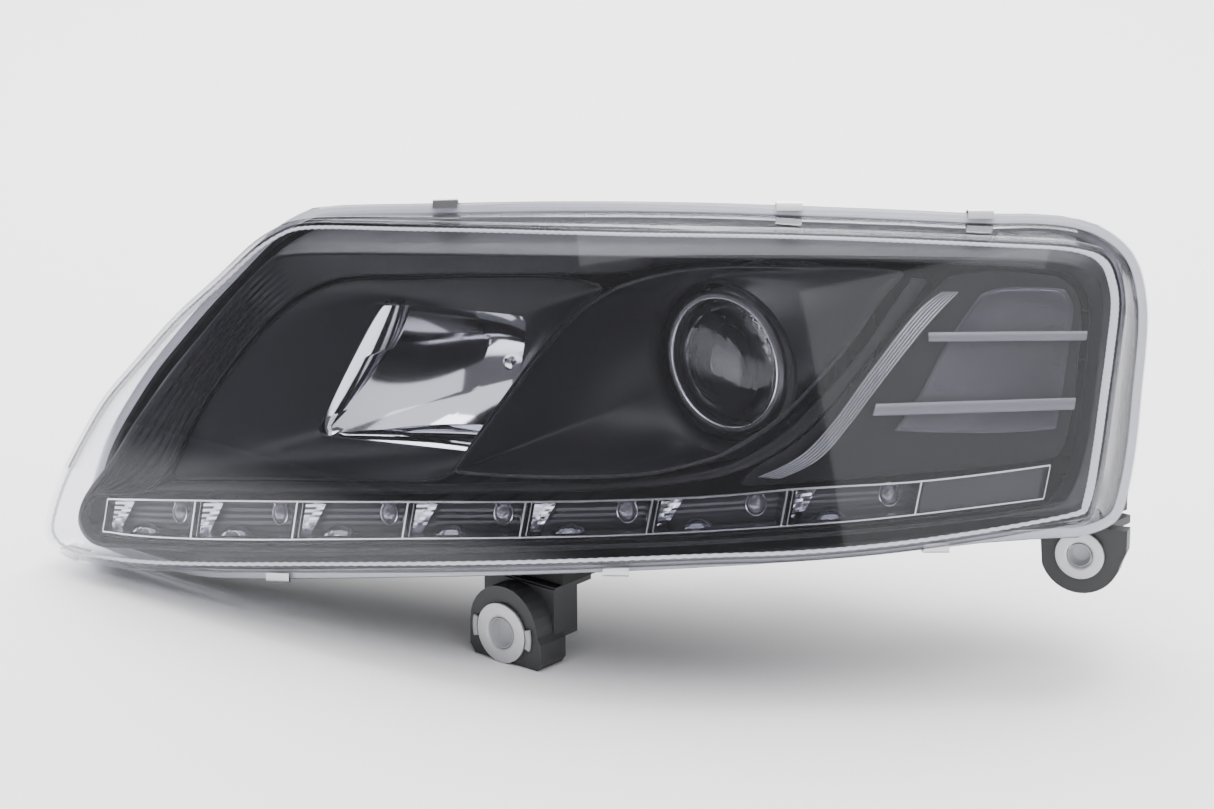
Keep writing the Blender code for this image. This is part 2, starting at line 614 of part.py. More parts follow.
def turn_bezel():
    """Black land around the turn signal's window."""
    outer, window = outline(TURN_OUTER, 8, 8), outline(TURN_WINDOW, 8, 8)
    rings = [on_face(outer, 21.0), on_face(window, 21.5), on_face(inset(window, 0.6), 23.0)]
    return attach(thicken(loft("turn_bezel", rings, facing=OUT), 1.6), "housing", SATIN_BLACK)


def turn_reflector():
    """Bright bowl behind the turn window, down to the bulb hole."""
    window = on_face(inset(outline(TURN_WINDOW, 7, 7), 2.6), 27.0)
    x0, z0 = TURN
    start = window - np.array((x0, 0, z0))
    angles = np.unwrap(np.arctan2(start[:, 2], start[:, 0]))
    hole = np.stack((x0 + 12.5 * np.cos(angles), np.full(len(angles), TURN_VERTEX_Y),
                     z0 + 12.5 * np.sin(angles)),
                    axis=1)
    rings = [window]
    for share in (0.35, 0.7):
        middle = window * (1 - share) + hole * share
        middle[:, 1] += 10.0 * math.sin(share * math.pi)
        rings.append(middle)
    rings.append(hole)
    return attach(thicken(loft("turn_reflector", rings, facing=OUT), 1.8), "housing", CHROME)


def turn_inner_lens():
    """Thin smoked plate that fills the turn window, just in front of the land."""
    rim = outline(TURN_WINDOW, 12, 12)
    rim = inset(rim, -1.5)
    rings = [on_face(rim, 20.2), on_face(rim, 18.6)]
    half = len(rim)
    bm = bmesh.new()
    rows = [[bm.verts.new(point) for point in ring] for ring in rings]
    for i in range(half):
        j = (i + 1) % half
        bm.faces.new((rows[0][i], rows[0][j], rows[1][j], rows[1][i]))
    for row in rows:
        side, across = row[:13], row[24:37][::-1]
        upper, lower = row[12:25], (row[36:] + row[:1])[::-1]
        middle = [a for a in zip(side, across)]
        for k in range(12):
            bm.faces.new((middle[k][0], middle[k + 1][0], middle[k + 1][1], middle[k][1]))
        bm.faces.new(upper)
        bm.faces.new(lower)
    turn_out(bm, None)
    return attach(new_mesh("turn_inner_lens", bm, 30), "housing", SMOKE)


def drl_frame():
    """Chrome-lined tray of daytime-light cells, one pocket a cell."""
    count = 18
    bar = strip("drl_frame", DRL_TOP, DRL_BOTTOM, 10.0, 34.0, count, CHROME)
    ends = (-311.0,) + DRL_DIVIDERS + (250.0,)
    top, low = smooth(DRL_TOP, 120), smooth(DRL_BOTTOM, 120)
    for k, (start, stop) in enumerate(zip(ends, ends[1:])):
        corners = []
        for u in (start + 1.4, stop - 1.4):
            v_top = np.interp(u, top[:, 0], top[:, 1]) - 1.5
            v_low = np.interp(u, low[:, 0], low[:, 1]) + 1.5
            corners.append(((u, v_top), (u, v_low)))
        loop = [corners[0][0], corners[1][0], corners[1][1], corners[0][1]]
        rings = [on_face(loop, 6.0), on_face(loop, 31.0)]
        pocket = attach(loft(f"drl_pocket_{k + 1}", rings, caps=(True, True)), "housing", cutter=True)
        combine(bar, pocket, "DIFFERENCE")
    return bar


def drl_optic(index, u):
    """One moulded LED optic: a short drum with a domed front, at the back of its cell."""
    low, top = smooth(DRL_BOTTOM, 120), smooth(DRL_TOP, 120)
    v = np.interp(u, low[:, 0], low[:, 1]) * 0.4 + np.interp(u, top[:, 0], top[:, 1]) * 0.6
    base = on_face([(u, v)], 30.4)[0]
    bm = bmesh.new()
    bmesh.ops.create_cone(bm, cap_ends=True, segments=10, radius1=6.2, radius2=5.6, depth=4.0)
    bmesh.ops.create_cone(bm, cap_ends=True, segments=10, radius1=5.6, radius2=2.6, depth=2.4,
                          matrix=Matrix.Translation((0, 0, 3.2)))
    bmesh.ops.remove_doubles(bm, verts=bm.verts, dist=0.01)
    doubled = [face for face in bm.faces if len(face.verts) == 10 and abs(face.calc_center_median().z - 2.0) < 0.05]
    bmesh.ops.delete(bm, geom=doubled, context="FACES_ONLY")
    along, up = on_face([(u + 1, v), (u, v + 1)], 30.4) - base
    normal = Vector(np.cross(along, up)).normalized()
    turn = normal.to_track_quat("Z", "Y").to_matrix().to_4x4()
    bmesh.ops.transform(bm, matrix=Matrix.Translation(Vector(base) + normal * 2.6) @ turn, verts=bm.verts)
    turn_out(bm, None)
    return attach(new_mesh(f"drl_optic_{index}", bm), "housing", CLEAR)


# ---------------------------------------------------------------- the aiming carrier
def carrier_frame():
    """Flat moulded frame, with the high-beam hole, the projector's hole and three reaction points."""
    x0, z0 = PROJECTOR
    hx, hz = HIGH_BEAM
    ring = arc(x0, z0, 61, 152, -118, 21)
    outer = ring + [(PUSHROD[0] + 14, -54), (PUSHROD[0] - 12, -54), (-76, -38), (-150, -38), (-177, -8),
                    (-177, 16), (-150, 20), (-76, 26)]
    loops = [outer, arc(x0, z0, 53.8, 0, 345, 24), arc(hx, hz, 24, 0, 336, 15),
             arc(*PUSHROD, 6.0, 0, 330, 12)]
    frame = plate("carrier_frame", loops, 5.0, upright(AIM_Y))
    added = [rod("left_pin", 3, (-191, AIM_Y, AIM_Z), (-176, AIM_Y, AIM_Z), 12),
             rod("right_pin", 3, (76, AIM_Y, AIM_Z), (91, AIM_Y, AIM_Z), 12)]
    for k, dx in enumerate((-44, 38)):
        foot = HIGH_VERTEX_Y - dx * dx / (4 * HIGH_FOCAL) + 8.0
        added.append(rod(f"reflector_boss_{k + 1}", 4, (hx + dx, foot, hz), (hx + dx, AIM_Y, hz), 12))
    added += [block(f"gimbal_boss_{k + 1}", (x0, AIM_Y, z0 + s * 58.4), (11, 9.6, 8))
              for k, s in enumerate((-1, 1))]
    removed = [rod(f"gimbal_hole_{k + 1}", 3.2, (x0, AIM_Y, z0 + s * 50), (x0, AIM_Y, z0 + s * 65), 12)
               for k, s in enumerate((-1, 1))]
    for tool in added:
        combine(frame, attach(tool, "carrier", cutter=True), "UNION")
    for tool in removed:
        combine(frame, attach(tool, "carrier", cutter=True), "DIFFERENCE")
    return attach(frame, "carrier", HOUSING_BLACK)


def pivot_post(name, x, back):
    """Fixed post from the rear wall, with the eye that one of the carrier's pins turns in."""
    front = AIM_Y - 6.5
    post = block(name, (x, (front + back) / 2, AIM_Z), (9, back - front, 14), 1.5)
    eye = rod(name + "_eye", 3.35, (x - 8, AIM_Y, AIM_Z), (x + 8, AIM_Y, AIM_Z), 12)
    combine(post, attach(eye, "housing", cutter=True), "DIFFERENCE")
    return attach(post, "housing", HOUSING_BLACK)


def high_beam_reflector():
    """Bright paraboloid with a squared rim and flat upper and lower walls."""
    hx, hz = HIGH_BEAM
    rim = rounded_rectangle(-197, -73, -54, 34, 9, 11)
    spread = np.hypot(rim[:, 0] - hx, rim[:, 1] - hz)
    front = high_rim_y(rim[:, 0], rim[:, 1]) + 5.0
    rings = [np.stack((rim[:, 0], front, rim[:, 1]), axis=1)]
    for share in (0.98, 0.8, 0.58, 0.33):
        flat = np.array((hx, hz)) + (rim - np.array((hx, hz))) * share
        circle = np.array((hx, hz)) + (rim - np.array((hx, hz))) / spread[:, None] * share * 52.0
        round_share = min(1.0, (1 - share) * 1.45)
        loop = flat * (1 - round_share) + circle * round_share
        r = np.hypot(loop[:, 0] - hx, loop[:, 1] - hz)
        depth = np.maximum(HIGH_VERTEX_Y - r**2 / (4 * HIGH_FOCAL), front + 3.0)
        rings.append(np.stack((loop[:, 0], depth, loop[:, 1]), axis=1))
    return attach(thicken(loft("high_beam_reflector", rings, facing=OUT, smooth_angle=60), 2.2), "carrier",
                  CHROME)


def bulb(name, body, x, z, base_y, nose):
    """Halogen bulb: metal base disc, glass capsule ahead of it and a terminal block behind."""
    profile = [(0, base_y - nose), (3.5, base_y - nose + 2), (5.5, base_y - nose + 7), (5.5, base_y - 8),
               (7.5, base_y - 6), (7.5, base_y), (BULB_BASE_R, base_y), (BULB_BASE_R, base_y + 2.5), (6.5,
                                                                                                      base_y + 2.5),
               (6.5, base_y + 14), (0, base_y + 14)]
    return attach(turned(name, profile, x, z, 16), body, GLASS)


def spring_clip(name, x, z, base_y):
    """Wire bail that holds a bulb's base down, hinged at its own side."""
    y, start, stop = base_y + CLIP_LIFT, x - CLIP_REACH, x + 15.0
    points = [(start, y, z - 9), (start, y, z + 9), (stop, y, z + 9), (stop, y, z + 4), (stop + 5, y, z + 4),
              (stop + 5, y, z - 4), (stop, y, z - 4), (stop, y, z - 9)]
    return attach(wire(name, points, 0.9, cyclic=True), name, CLIP_STEEL)


# ---------------------------------------------------------------- the projector
def projector_parts():
    """Ring, glass, holder, yoke, shutter, bowl and bulb, all round the low beam's axis."""
    x0, z0 = PROJECTOR
    ring_y = RING_FRONT_Y
    attach(turned("projector_ring", [(RING_RADIUS, ring_y + 2), (RING_RADIUS, ring_y + 9), (39.2, ring_y + 9),
                                     (39.2, ring_y + 5.5), (GLASS_RADIUS + 0.6, ring_y + 5),
                                     (GLASS_RADIUS + 0.6, ring_y + 1), (40.0, ring_y)], x0, z0, 32),
           "projector", DARK_METAL)
    dome = [(GLASS_RADIUS * math.sin(a), ring_y + 13 - 19 * math.cos(a)) for a in np.radians(np.linspace(0,
                                                                                                         90, 6))]
    glass = dome + [(GLASS_RADIUS, ring_y + 15), (0, ring_y + 15)]
    glass[0] = (0, glass[0][1])
    attach(turned("projector_lens", glass, x0, z0, 28), "projector", GLASS)
    attach(turned("lens_holder", [(38.8, ring_y + 9.5), (42.0, ring_y + 9.5), (42.0, AIM_Y + 3.6),
                                  (49, AIM_Y + 3.6), (49, AIM_Y + 6), (38.8, AIM_Y + 6), (38.8, 104),
                                  (36, 103), (36, 100.8), (38.8,
                                                           100.6)], x0, z0, 28), "projector", DARK_METAL)
    yoke = turned("projector_yoke", [(42.6, AIM_Y - 3.2), (49, AIM_Y - 3.2), (49, AIM_Y + 3.2), (42.6,
                                                                                                 AIM_Y + 3.2)],
                  x0, z0, 32)
    for k, s in enumerate((-1, 1)):
        pin = rod(f"gimbal_pin_{k + 1}", 2.8, (x0, AIM_Y, z0 + s * 46), (x0, AIM_Y, z0 + s * 58), 12)
        combine(yoke, attach(pin, "projector", cutter=True), "UNION")
    attach(yoke, "projector", HOUSING_BLACK)
    shade = plate("projector_shutter", [arc(x0, z0, 44, 180, 360, 20) + [(x0 + 12, z0), (x0 + 4, z0 + 3)]],
                  1.2,
                  upright(131.2))
    attach(shade, "projector", DARK_METAL)
    outside = [(51, 133), (51, 136)] + [(17 + 30.5 * math.sqrt(max(0.0, 1 - ((y - 136) / 62) ** 2)), y)
                                        for y in (146, 164, 182, BOWL_BACK_Y)]
    inside = [(r - 2.0, y) for r, y in outside[:1:-1]] + [(45.5, 136), (45.5, 133)]
    bowl = turned("projector_bowl", outside + inside, x0, z0, 24)
    lug_place = Matrix.Translation((0, 138.5 * MM, 0)) @ Matrix.Rotation(math.radians(90), 4, "X")
    side_x, side_z = SIDE_SCREW
    lug = plate("aim_lug", [arc(side_x, side_z, 9, 60, 300, 10) + [(x0 - 40, z0 - 8), (x0 - 40, z0 + 22)],
                            arc(side_x, side_z, 5.6, 0, 330, 12)], 4.0, lug_place)
    combine(bowl, attach(lug, "projector", cutter=True), "UNION")
    attach(bowl, "projector", DARK_METAL)
    bulb("low_beam_bulb", "projector", x0, z0, LOW_BASE_Y, 34)


# ---------------------------------------------------------------- adjusters, caps and electrics
def aiming_drive():
    """Levelling motor with its pushrod, and the two hand screws."""
    mx, mz = PUSHROD
    attach(turned("levelling_motor", [(6, 204.4), (22, 204.4), (22, 214), (20, 216), (20, 236), (9.6, 236),
                                      (9.6, 230), (7, 230), (7, 226), (6, 226)], mx, mz, 24),
           "housing", HOUSING_BLACK)
    attach(turned("motor_pushrod", [(0, AIM_Y - 5.2), (3.6, AIM_Y - 4), (5.2, AIM_Y), (3.6, AIM_Y + 4),
                                    (3.2, AIM_Y + 6), (4.2, AIM_Y + 12), (4.2, 218), (0, 218)], mx, mz, 16),
           "pushrod", NYLON)
    attach(turned("vertical_adjuster", [(0, 231), (6.4, 231), (6.4, 237), (9, 237), (9, 246), (7.5, 248),
                                        (0, 248)],
                  mx, mz, 16), "vertical_adjuster", NYLON)
    sx, sz = SIDE_SCREW
    attach(turned("horizontal_adjuster", [(0, 131), (3, 132), (3, 200.5), (9, 200.5), (9, 210), (7.5, 212),
                                          (0, 212)],
                  sx, sz, 16), "horizontal_adjuster", NYLON)


def port_cap(name, body, x, z, neck_r, neck_y):
    """Push-on dust cap with a grip bar, and the ring that seals it on its neck."""
    skirt, wall = neck_r + 2.2, 2.0
    cap = turned(name, [(0, neck_y + 4), (neck_r - 4, neck_y + 4), (skirt + wall, neck_y + 3),
                        (skirt + wall, neck_y - 11), (skirt, neck_y - 11), (skirt, neck_y + 1.5),
                        (0, neck_y + 1.5)][::-1], x, z, 24)
    grip = block(name + "_grip", (x, neck_y + 8.0, z), (neck_r * 1.3, 11, 7), 1.2)
    combine(cap, attach(grip, body, cutter=True), "UNION")
    attach(cap, body, HOUSING_BLACK)
    ring = turned(name + "_seal", [(neck_r + 0.4, neck_y - 7), (skirt - 0.4, neck_y - 7), (skirt - 0.4,
                                                                                           neck_y - 3),
                                   (neck_r + 0.4, neck_y - 3)], x, z, 24)
    attach(ring, body, RUBBER)


def turn_holder():
    """Quarter-turn bulb holder in its neck, and the bulb it carries."""
    x, z = TURN
    holder = turned("turn_bulb_holder", [(0, 262), (13.4, 262), (13.4, TURN_NECK_Y + 0.4), (19.5,
                                                                                            TURN_NECK_Y + 0.4),
                                         (19.5, TURN_NECK_Y + 4), (10, TURN_NECK_Y + 4), (10,
                                                                                          TURN_NECK_Y + 12),
                                         (0, TURN_NECK_Y + 12)], x, z, 18)
    grip = block("turn_grip", (x, TURN_NECK_Y + 8, z), (34, 9, 5), 1.0)
    combine(holder, attach(grip, "turn_holder", cutter=True), "UNION")
    attach(holder, "turn_holder", HOUSING_BLACK)
    attach(turned("turn_bulb", [(0, 218), (6, 220), (9, 226), (9, 233), (7.4, 240), (7.4, 261.6), (0,
                                                                                                   261.6)], x, z, 20),
           "turn_holder", GLASS)


def wall_point(x, z, stand_off):
    """Place on the outside of the slanted rear wall."""
    y = rear_y(x) + (HOUSING_WALL + stand_off) / math.cos(REAR_ANGLE)
    return Vector((x, y, z))


def wall_box(name, x, z, size, shade, bevel=2.0):
    """A box that lies flat against the rear wall."""
    normal = Vector((-math.sin(REAR_ANGLE), math.cos(REAR_ANGLE), 0))
    centre = wall_point(x, z, GAP) + normal * (size[1] / 2)
    return attach(block(name, centre, size, bevel, REAR_ANGLE), "housing", shade)


def rear_electrics():
    """Light driver, the main connector with its open socket, and the breather."""
    wall_box("light_driver", -196, -38, (62, 20, 44), DARK_METAL)
    socket = wall_box("main_connector", 98, -36, (40, 26, 26), HOUSING_BLACK, 1.5)
    normal = Vector((-math.sin(REAR_ANGLE), math.cos(REAR_ANGLE), 0))
    mouth = wall_point(98, -36, GAP) + normal * 20
    cavity = block("connector_cavity", mouth, (32, 24, 18), 0, REAR_ANGLE)
    combine(socket, attach(cavity, "housing", cutter=True), "DIFFERENCE")
    start = wall_point(-205, 4, GAP)
    attach(rod("breather_cap", 8, start, start + normal * 9, 20, 7), "housing", RUBBER)


# ---------------------------------------------------------------- mounting brackets
def centre_bracket():
    """Box bracket under the lamp that faces forward, with its steel bush."""
    x0, back, z0 = CENTRE_BOLT
    front = back - 22.5
    body_y = (front + back - 0.5) / 2
    face = arc(x0, z0 + 2, 26, 180, 0, 16) + [(x0 + 29, z0 - 2), (x0 + 29, z0 - 14), (x0 + 26, z0 - 18),
                                             (x0 - 22, z0 - 18), (x0 - 26, z0 - 13)]
    bracket = plate("centre_bracket", [face], back - 0.5 - front, upright(body_y))
    added = [block("centre_stem", (x0, back - 4.5, z0 + 12), (54, 8, 32)),
             block("centre_rib_right", (x0 + 24, back + 4, z0 + 12), (5, 18, 30)),
             block("centre_rib_left", (x0 - 24, back + 4, z0 + 12), (5, 18, 30)),
             block("centre_foot", (x0, back + 9, z0 + 27.5), (54, 32, 3))]
    for tool in added:
        combine(bracket, attach(tool, "housing", cutter=True), "UNION")
    bore = rod("centre_bush_bore", BUSH_R + 0.5, (x0, front - 9, z0), (x0, back + 9, z0), 28)
    combine(bracket, attach(bore, "housing", cutter=True), "DIFFERENCE")
    attach(bracket, "housing", HOUSING_BLACK)
    bush = turned("centre_bush", [(BUSH_FLANGE_R, front - 2.6), (BUSH_FLANGE_R, front - 0.4), (BUSH_R,
                                                                                               front - 0.4),
                                  (BUSH_R, back), (BOLT_HOLE_R, back), (BOLT_HOLE_R,
                                                                        front - 2.6)], x0, z0, 32)
    attach(bush, "housing", SILVER)


def side_bracket():
    """Round-ended bracket at the wing corner, turned outwards, with its steel bush."""
    turn = Matrix.Translation(Vector(SIDE_BOLT) * MM) @ Matrix.Rotation(SIDE_TURN, 4, "Z")
    place = turn @ Matrix.Translation((0, 4.5 * MM, 0)) @ Matrix.Rotation(math.radians(90), 4, "X")
    disc = arc(0, 0, 24, 200, 350, 18) + [(27, 4), (27, 17), (4, 17), (-22, 17), (-24, 10)]
    bracket = plate("side_bracket", [disc], 9.0, place)
    added = [block("side_stem", (SIDE_BOLT[0] - 4, SIDE_BOLT[1] + 22, -91.5), (26, 34, 5)),
             block("side_web", (SIDE_BOLT[0] + 1, SIDE_BOLT[1] + 11, -96), (22, 12, 14))]
    for tool in added:
        combine(bracket, attach(tool, "housing", cutter=True), "UNION")
    away = Vector((math.sin(SIDE_TURN), -math.cos(SIDE_TURN), 0))
    centre = Vector(SIDE_BOLT)
    bore = rod("side_bush_bore", 10.6, centre + away * 9, centre - away * 40, 24)
    combine(bracket, attach(bore, "housing", cutter=True), "DIFFERENCE")
    attach(bracket, "housing", HOUSING_BLACK)
    bush = turned("side_bush", [(14.5, -2.4), (14.5, -0.4), (10, -0.4), (10, 9.5), (7.5, 9.5), (7.5, -2.4)],
                  0, 0, 28)
    bush.matrix_world = turn @ Matrix.Rotation(math.radians(-90), 4, "X")
    attach(bush, "housing", SILVER)


# ---------------------------------------------------------------- assembly
outer_lens()
lens_seal()
rear_housing()
for number, (clip_u, clip_v) in enumerate(((-95, 119), (104, 114.3), (214, 110.2)), 1):
    lens_clip(f"top_clip_{number}", clip_u, clip_v, 1)
for number, (clip_u, clip_v) in enumerate(((-200, -106.3), (5, -96.9), (188, -83)), 1):
    lens_clip(f"bottom_clip_{number}", clip_u, clip_v, -1)
bezel_frame()
high_beam_well()
projector_shroud()
strip("bezel_land", LAND_UPPER, LAND_LOWER, 20.0, 22.0, 40, SATIN_BLACK)
light_guide()
turn_bezel()
turn_reflector()
turn_inner_lens()
strip("turn_bar_upper", [(182, 41), (274, 42)], [(182, 35.5), (273, 36.5)], 12.5, 16.8, 6, SMOKE)
strip("turn_bar_lower", [(152, 0.5), (267, 4)], [(150, -6.5), (266, -3)], 12.5, 16.8, 6, SMOKE)
drl_frame()
for number, optic_u in enumerate(DRL_OPTICS, 1):
    drl_optic(number, optic_u)
strip("drl_circuit_board", [(u, v - 4) for u, v in DRL_TOP], [(u, v + 4) for u, v in DRL_BOTTOM], 35.2,
      36.8, 20,
      BOARD)
carrier_frame()
pivot_post("left_pivot_post", -187, rear_y(-191.5) - 0.8)
pivot_post("right_pivot_post", 87, rear_y(82.5) - 0.8)
high_beam_reflector()
bulb("high_beam_bulb", "carrier", *HIGH_BEAM, HIGH_BASE_Y, 42)
spring_clip("high_bulb_clip", *HIGH_BEAM, HIGH_BASE_Y)
projector_parts()
spring_clip("low_bulb_clip", *PROJECTOR, LOW_BASE_Y)
aiming_drive()
port_cap("low_beam_cap", "low_beam_cap", *PROJECTOR, LOW_NECK_R, LOW_NECK_Y)
port_cap("high_beam_cap", "high_beam_cap", *HIGH_BEAM, HIGH_NECK_R, HIGH_NECK_Y)
turn_holder()
rear_electrics()
centre_bracket()
side_bracket()
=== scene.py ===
"""Looks of the left front lamp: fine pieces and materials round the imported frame."""
import json
import math

import bmesh
import bpy
import numpy as np
from mathutils import Matrix, Vector


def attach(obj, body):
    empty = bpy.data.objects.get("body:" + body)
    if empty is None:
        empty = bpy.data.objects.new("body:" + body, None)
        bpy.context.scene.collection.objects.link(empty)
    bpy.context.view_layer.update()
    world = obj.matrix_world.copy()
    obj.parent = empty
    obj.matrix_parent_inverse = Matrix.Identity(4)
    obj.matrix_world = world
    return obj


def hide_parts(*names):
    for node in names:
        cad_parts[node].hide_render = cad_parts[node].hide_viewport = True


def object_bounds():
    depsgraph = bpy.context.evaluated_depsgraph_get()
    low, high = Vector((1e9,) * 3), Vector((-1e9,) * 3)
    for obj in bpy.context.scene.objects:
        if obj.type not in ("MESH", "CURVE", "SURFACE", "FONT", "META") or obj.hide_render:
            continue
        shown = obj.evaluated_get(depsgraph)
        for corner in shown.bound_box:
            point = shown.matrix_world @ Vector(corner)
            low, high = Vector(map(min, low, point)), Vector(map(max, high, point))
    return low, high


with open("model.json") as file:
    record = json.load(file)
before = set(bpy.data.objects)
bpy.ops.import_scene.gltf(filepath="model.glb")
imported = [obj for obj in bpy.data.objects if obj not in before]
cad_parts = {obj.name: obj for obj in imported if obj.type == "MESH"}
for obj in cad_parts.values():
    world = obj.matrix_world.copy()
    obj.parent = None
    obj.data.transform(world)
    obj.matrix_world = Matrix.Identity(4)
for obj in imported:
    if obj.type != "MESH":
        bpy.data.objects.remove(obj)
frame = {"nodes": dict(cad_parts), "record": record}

CAD_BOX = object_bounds()
NODES = frame["nodes"]
MM = 0.001

# ------------------------ driving dimensions, in mm
# As in the CAD: the lamp looks along -Y, and its outer face is styled in u, v and w.
FACE_YAW, FACE_PITCH = math.radians(40), math.radians(17)
FACE_CREST_U, SWEEP_RADIUS, SWEEP_DEPTH, WING_CURVE, CROWN_CURVE = 60.0, 250.0, 253.0, 2100.0, 1400.0
LENS_DEPTH, LENS_WALL, FLANGE = 28.0, 2.5, 6.0
CENTRE_BOLT = np.array((-74.0, 16.5, -152.0))
SIDE_BOLT, SIDE_TURN = np.array((181.0, 212.0, -105.0)), math.radians(20)
PROJECTOR, HIGH_BEAM, TURN = (16.0, 8.0), (-118.0, -10.0), (145.0, 9.0)
RING_FRONT_Y, RING_RADIUS, GLASS_RADIUS = 85.0, 42.6, 37.5
HIGH_VERTEX_Y, HIGH_FOCAL, TURN_VERTEX_Y, BOWL_BACK_Y = 85.0, 20.0, 235.0, 196.0
PUSHROD, SIDE_SCREW = (-50.0, -42.0), (-58.0, 20.0)
LOW_NECK_R, HIGH_NECK_R = 49.0, 39.0
LOW_NECK_Y, HIGH_NECK_Y = 252.0, 200.0
BUSH_FLANGE_R, BUSH_R, BOLT_HOLE_R, BUSH_DEPTH = 18.2, 13.0, 9.5, 22.5
HIGH_HOLE = (-191.0, -84.0, -49.0, 30.0)  # left, right, low and high edges of the high beam's opening
HIGH_RIM = (-197.0, -73.0, -54.0, 34.0)  # the reflector's rim, which laps behind that opening
LEAN_TOP, LEAN_FOOT = 21.0, -5.0
BAR_FRONT, BAR_BACK = 12.6, 16.6
CAMERA_DISTANCE, VIEW_WIDTH, SENSOR_WIDTH = 2000.0, 679.84, 36.0
FLOOR_Z, FLOOR_SIDE, WORLD_LIGHT = -0.0185, 40.0, 0.2  # in metres, as the frame, except the light
SHEEN_FACING, SHEEN_GRAZING = 0.026, 0.9  # share of light that clear plastic mirrors
SOFTBOXES = {  # place and aim in lamp millimetres, width and height in metres, and power in watts
    "overhead_softbox": ((0, 100, 1900), (0, 60, 0), 2.8, 2.2, 100),
    "backdrop_softbox": ((-1700, 2100, 2400), (-1700, 2100, 0), 4.0, 4.0, 400),
    "front_softbox": ((1150, -1430, 2150), (0, 0, 0), 3.6, 1.5, 24),
    "wing_softbox": ((2150, -700, 560), (0, 0, 60), 1.5, 1.5, 9),
}

ALONG = np.array((math.cos(FACE_YAW), math.sin(FACE_YAW), 0.0))
OUT = np.array((math.sin(FACE_YAW) * math.cos(FACE_PITCH), -math.cos(FACE_YAW) * math.cos(FACE_PITCH),
                math.sin(FACE_PITCH)))
UP = np.cross(OUT, ALONG)

# ------------------------ styling lines, (u, v) in mm
LENS_EDGE = (
    [(-351, -77), (-347, -63), (-340, -46), (-326, -22), (-309, 3), (-285, 28), (-261, 52), (-233, 75),
     (-208, 96), (-191, 105)],
    [(-191, 105), (-181, 107), (-108, 104), (7, 99), (109, 97), (222, 93), (263, 91), (279, 88)],
    [(279, 88), (287, 82), (291, 72), (293, 59), (290, 31), (286, 3), (282, -26), (277, -54), (273, -64)],
    [(273, -64), (222, -73), (165, -81), (108, -86), (52, -88), (-61, -93), (-181, -97), (-245, -99),
     (-286, -99), (-314, -97), (-331, -95), (-343, -90), (-349, -84), (-351, -77)],
)
SEAM_EDGE = (
    [(-336, -80), (-332, -64), (-326, -45), (-317, -22), (-302, 2), (-285, 25), (-268, 44), (-247, 66),
     (-227, 85), (-210, 101), (-196, 111), (-178, 119)],
    [(-178, 119), (-163, 120), (-104, 119), (-27, 118), (53, 116), (110, 114), (167, 112), (216, 110),
     (248, 110), (269, 108), (283, 104)],
    [(283, 104), (296, 96), (306, 84), (312, 57), (308, 3), (305, -26), (301, -49), (296, -65), (289, -71),
     (271, -77)],
    [(271, -77), (225, -79), (167, -85), (110, -90), (-4, -97), (-122, -103), (-218, -107), (-252, -107),
     (-293, -99), (-314, -93), (-327, -89), (-336, -80)],
)
BEZEL_RIDGE = (
    [(-331, -74), (-327, -60), (-305, -33), (-289, -10), (-253, 33), (-220, 69), (-198, 89)],
    [(-198, 89), (-182, 90), (-4, 85), (166, 84), (258, 82), (272, 79)],
    [(272, 79), (282, 71), (284, 60), (280, 14), (274, -26), (268, -46), (262, -57)],
    [(262, -57), (177, -69), (64, -78), (-4, -81), (-120, -85), (-246, -88), (-294, -88), (-322, -86),
     (-331, -74)],
)
BEZEL_MOUTH = (
    [(-324, -72), (-321, -58), (-292, -56), (-271, -45), (-249, -6), (-223, 29), (-204, 50), (-185, 65)],
    [(-185, 65), (-158, 75), (-121, 76), (-27, 75), (8, 75), (36, 80), (64, 82), (109, 82), (155, 81),
     (240, 79), (262, 76)],
    [(262, 76), (272, 69), (276, 58), (273, 14), (267, -26), (262, -42), (255, -52)],
    [(255, -52), (250, -58), (177, -66), (64, -75), (-4, -78), (-120, -82), (-246, -86), (-294, -85),
     (-319, -82), (-324, -72)],
)
WELL_MOUTH = (
    [(-266, -44), (-247, -7), (-221, 27), (-202, 47), (-183, 61)],
    [(-183, 61), (-158, 71), (-121, 72), (-27, 71), (-2, 66)],
    [(-2, 66), (-19, 53), (-42, 28), (-65, -3), (-90, -39)],
    [(-90, -39), (-102, -43), (-182, -43), (-266, -44)],
)
SHROUD_EDGE = (
    [(-88, -39), (-61, -3), (-38, 28), (-15, 53), (7, 67)],
    [(7, 67), (36, 75), (64, 78), (109, 78), (155, 77), (169, 75)],
    [(169, 75), (157, 62), (137, 34), (109, 3), (92, -12), (64, -29)],
    [(64, -29), (30, -38), (-4, -41), (-50, -41), (-88, -39)],
)
LAND_UPPER = [(-266, -47), (-182, -46), (-100, -46), (-50, -44.5), (-4, -44), (30, -41), (68, -34),
              (98, -17.5), (115, -2), (143, 29), (163, 57.5), (173, 72)]
LAND_LOWER = [(-286, -54), (-182, -53), (-61, -51), (-4, -49), (41, -45), (76, -37.5), (106, -21),
              (131, 4), (159, 39), (175, 60), (183, 71)]
TURN_OUTER = (
    [(74, -46), (84, -36), (108, -21), (133, 4), (162, 38), (179, 58), (194, 73)],
    [(194, 73), (220, 76), (240, 75), (258, 73)],
    [(258, 73), (267, 66), (271, 56), (268, 14), (262, -20), (257, -30)],
    [(257, -30), (240, -33), (177, -39), (109, -44), (74, -46)],
)
TURN_WINDOW = (
    [(163, -15), (176, 3), (195, 37), (214, 63)],
    [(214, 63), (222, 66), (250, 67), (261, 66)],
    [(261, 66), (266, 57), (264, 37), (259, 3), (256, -14)],
    [(256, -14), (230, -16), (190, -16), (163, -15)],
)
